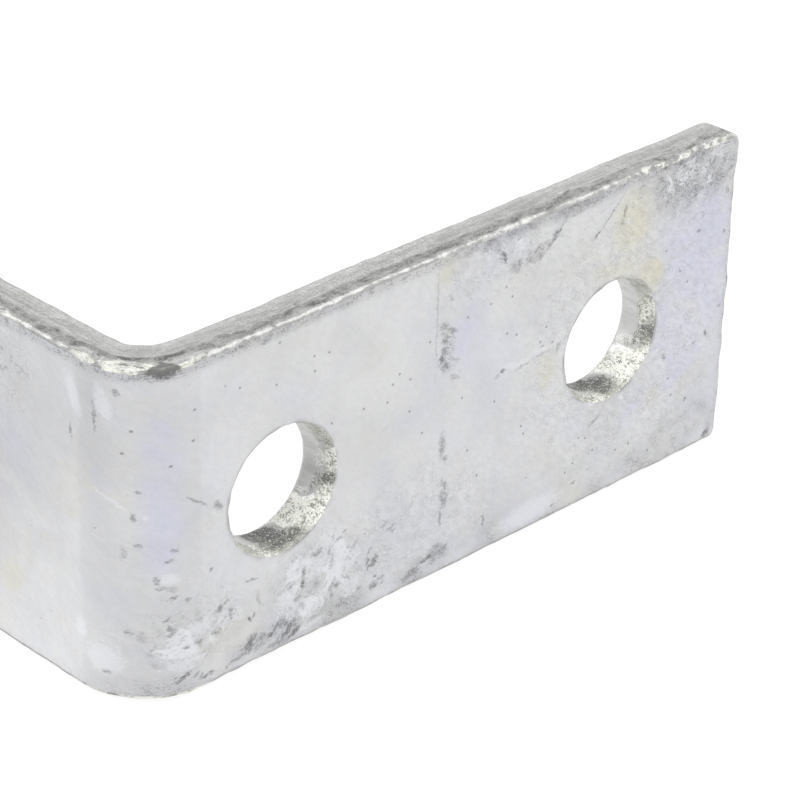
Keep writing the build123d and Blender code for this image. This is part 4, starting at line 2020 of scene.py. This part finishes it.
    def _reaching(self, marks: Sequence[Mark], start: float, end: float) -> list[Mark]:
        """Picks the marks that reach into a strip across the bar.

        Args:
            marks: All the marks.
            start: Run at which the strip starts.
            end: Run at which it ends.

        Returns:
            The marks that are in the strip, or near enough to show in it.
        """
        found = []
        for mark in marks:
            run = self.plan.run_at_reach(mark.reach)
            spread = self.strip_overlap + 1.3 * max(mark.half_length, 0.5 * mark.half_width)
            if start - spread < run < end + spread:
                found.append(mark)
        return found


@dataclass(frozen=True)
class SoftLamp:
    """A soft box: which way it lies from the bracket, how far, how large and how strong."""

    name: str
    direction: tuple[float, float, float]
    distance: float
    size: float
    watts: float

    def build(self, aim: Vector) -> None:
        """Adds the lamp.

        Args:
            aim: The point that it faces.
        """
        data = bpy.data.lights.new(self.name, "AREA")
        data.shape = "SQUARE"
        data.size = self.size
        data.energy = self.watts
        lamp = bpy.data.objects.new(self.name, data)
        away = Vector(self.direction).normalized()
        lamp.location = aim + away * self.distance
        lamp.rotation_mode = "QUATERNION"
        lamp.rotation_quaternion = away.to_track_quat("Z", "Y")
        lamp.visible_camera = False
        bpy.context.scene.collection.objects.link(lamp)


@dataclass
class Studio:
    """The white table, the light and the camera.

    Lengths are in millimetres for the camera and in metres for the table and the lamps.
    """

    lens: float = 148.07
    camera_place: tuple[float, float, float] = (-157.92, -240.72, 193.5)
    camera_turn: tuple[float, float, float] = (61.1205, -1.2702, -44.0254)
    dark_side: tuple[float, float, float] = (0.61, 0.62, 0.49)
    table_reach: float = 6.0
    table_grey: float = 0.16
    table_unseen_grey: float = 0.72
    table_glow: float = 0.88
    lamps: Sequence[SoftLamp] = field(
        default_factory=lambda: (
            SoftLamp("key_box", (0.61, -0.47, 0.60), 0.9, 0.60, 2.0),
            SoftLamp("front_box", (-0.35, -0.34, 0.85), 0.9, 0.60, 2.2),
            SoftLamp("back_box", (-0.47, 0.62, 0.59), 0.9, 0.32, 1.9),
            SoftLamp("side_box", (-0.74, -0.10, 0.66), 0.9, 0.50, 1.8),
        )
    )

    def build(self) -> None:
        """Builds everything round the bracket."""
        low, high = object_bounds()
        aim = (low + high) / 2
        self._floor(low.z)
        self._world()
        for lamp in self.lamps:
            lamp.build(aim)
            LOG.info("%s: %.1f W", lamp.name, lamp.watts)
        self._camera()
        bpy.context.scene.view_settings.view_transform = "Standard"

    @staticmethod
    def _seen(wires: Wiring) -> Socket:
        """1 for rays from the camera, from glossy surfaces and through clear ones."""
        path = wires.node("LightPath")
        seen = wires.most(path.outputs["Is Camera Ray"], path.outputs["Is Glossy Ray"])
        return wires.most(seen, path.outputs["Is Transmission Ray"])

    def _floor(self, level: float) -> None:
        """Adds the white table.

        Args:
            level: Height of its top.
        """
        mesh = bpy.data.meshes.new("table")
        reach = self.table_reach
        corners = [(reach * x, reach * y, level) for x, y in ((-1, -1), (1, -1), (1, 1), (-1, 1))]
        mesh.from_pydata(corners, [], [(0, 1, 2, 3)])
        table = bpy.data.objects.new("table", mesh)
        bpy.context.scene.collection.objects.link(table)
        table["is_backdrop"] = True
        material = bpy.data.materials.new("white_table")
        material.use_nodes = True
        wires = Wiring(material.node_tree)
        material.node_tree.nodes.remove(material.node_tree.nodes["Principled BSDF"])
        seen = self._seen(wires)
        matt = wires.node("BsdfDiffuse")
        grey = wires.blend(seen, (self.table_unseen_grey,) * 3, (self.table_grey,) * 3)
        wires.feed(matt.inputs["Color"], grey)
        glow = wires.node("Emission")
        wires.feed(glow.inputs["Strength"], wires.times(seen, self.table_glow))
        both = wires.node("AddShader")
        wires.feed(both.inputs[0], matt.outputs[0])
        wires.feed(both.inputs[1], glow.outputs[0])
        wires.feed(material.node_tree.nodes["Material Output"].inputs["Surface"], both.outputs[0])
        mesh.materials.append(material)
        LOG.info("table at %.4f m", level)

    def _world(self) -> None:
        """Lights the studio: white where it is looked at, greyer on the far side."""
        world = bpy.data.worlds.new("studio")
        bpy.context.scene.world = world
        world.use_nodes = True
        wires = Wiring(world.node_tree)
        ground = world.node_tree.nodes["Background"]
        path = wires.node("LightPath")
        way = wires.node("TexCoord")
        unit = Vector(self.dark_side).normalized()
        facing = wires.vector("DOT_PRODUCT", way.outputs["Generated"], tuple(unit))
        lit = wires.span(facing, 0.35, 0.95, 0.92, 0.76)
        strength = wires.most(lit, path.outputs["Is Camera Ray"])
        ground.inputs["Color"].default_value = (1.0, 1.0, 1.0, 1.0)
        wires.feed(ground.inputs["Strength"], strength)

    def _camera(self) -> None:
        """Adds the camera."""
        data = bpy.data.cameras.new("camera")
        data.lens = self.lens
        data.sensor_width = 36.0
        data.clip_start = 0.01
        data.clip_end = 50.0
        camera = bpy.data.objects.new("camera", data)
        camera.location = Vector(self.camera_place) * MM
        camera.rotation_euler = tuple(math.radians(turn) for turn in self.camera_turn)
        bpy.context.scene.collection.objects.link(camera)
        bpy.context.scene.camera = camera


def main() -> None:
    """Builds the bracket and the studio round it."""
    logging.basicConfig(level=logging.INFO, format="%(name)s: %(message)s")
    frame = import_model()
    Bracket.from_frame(frame).build()
    Studio().build()


if __name__ == "__main__":
    main()
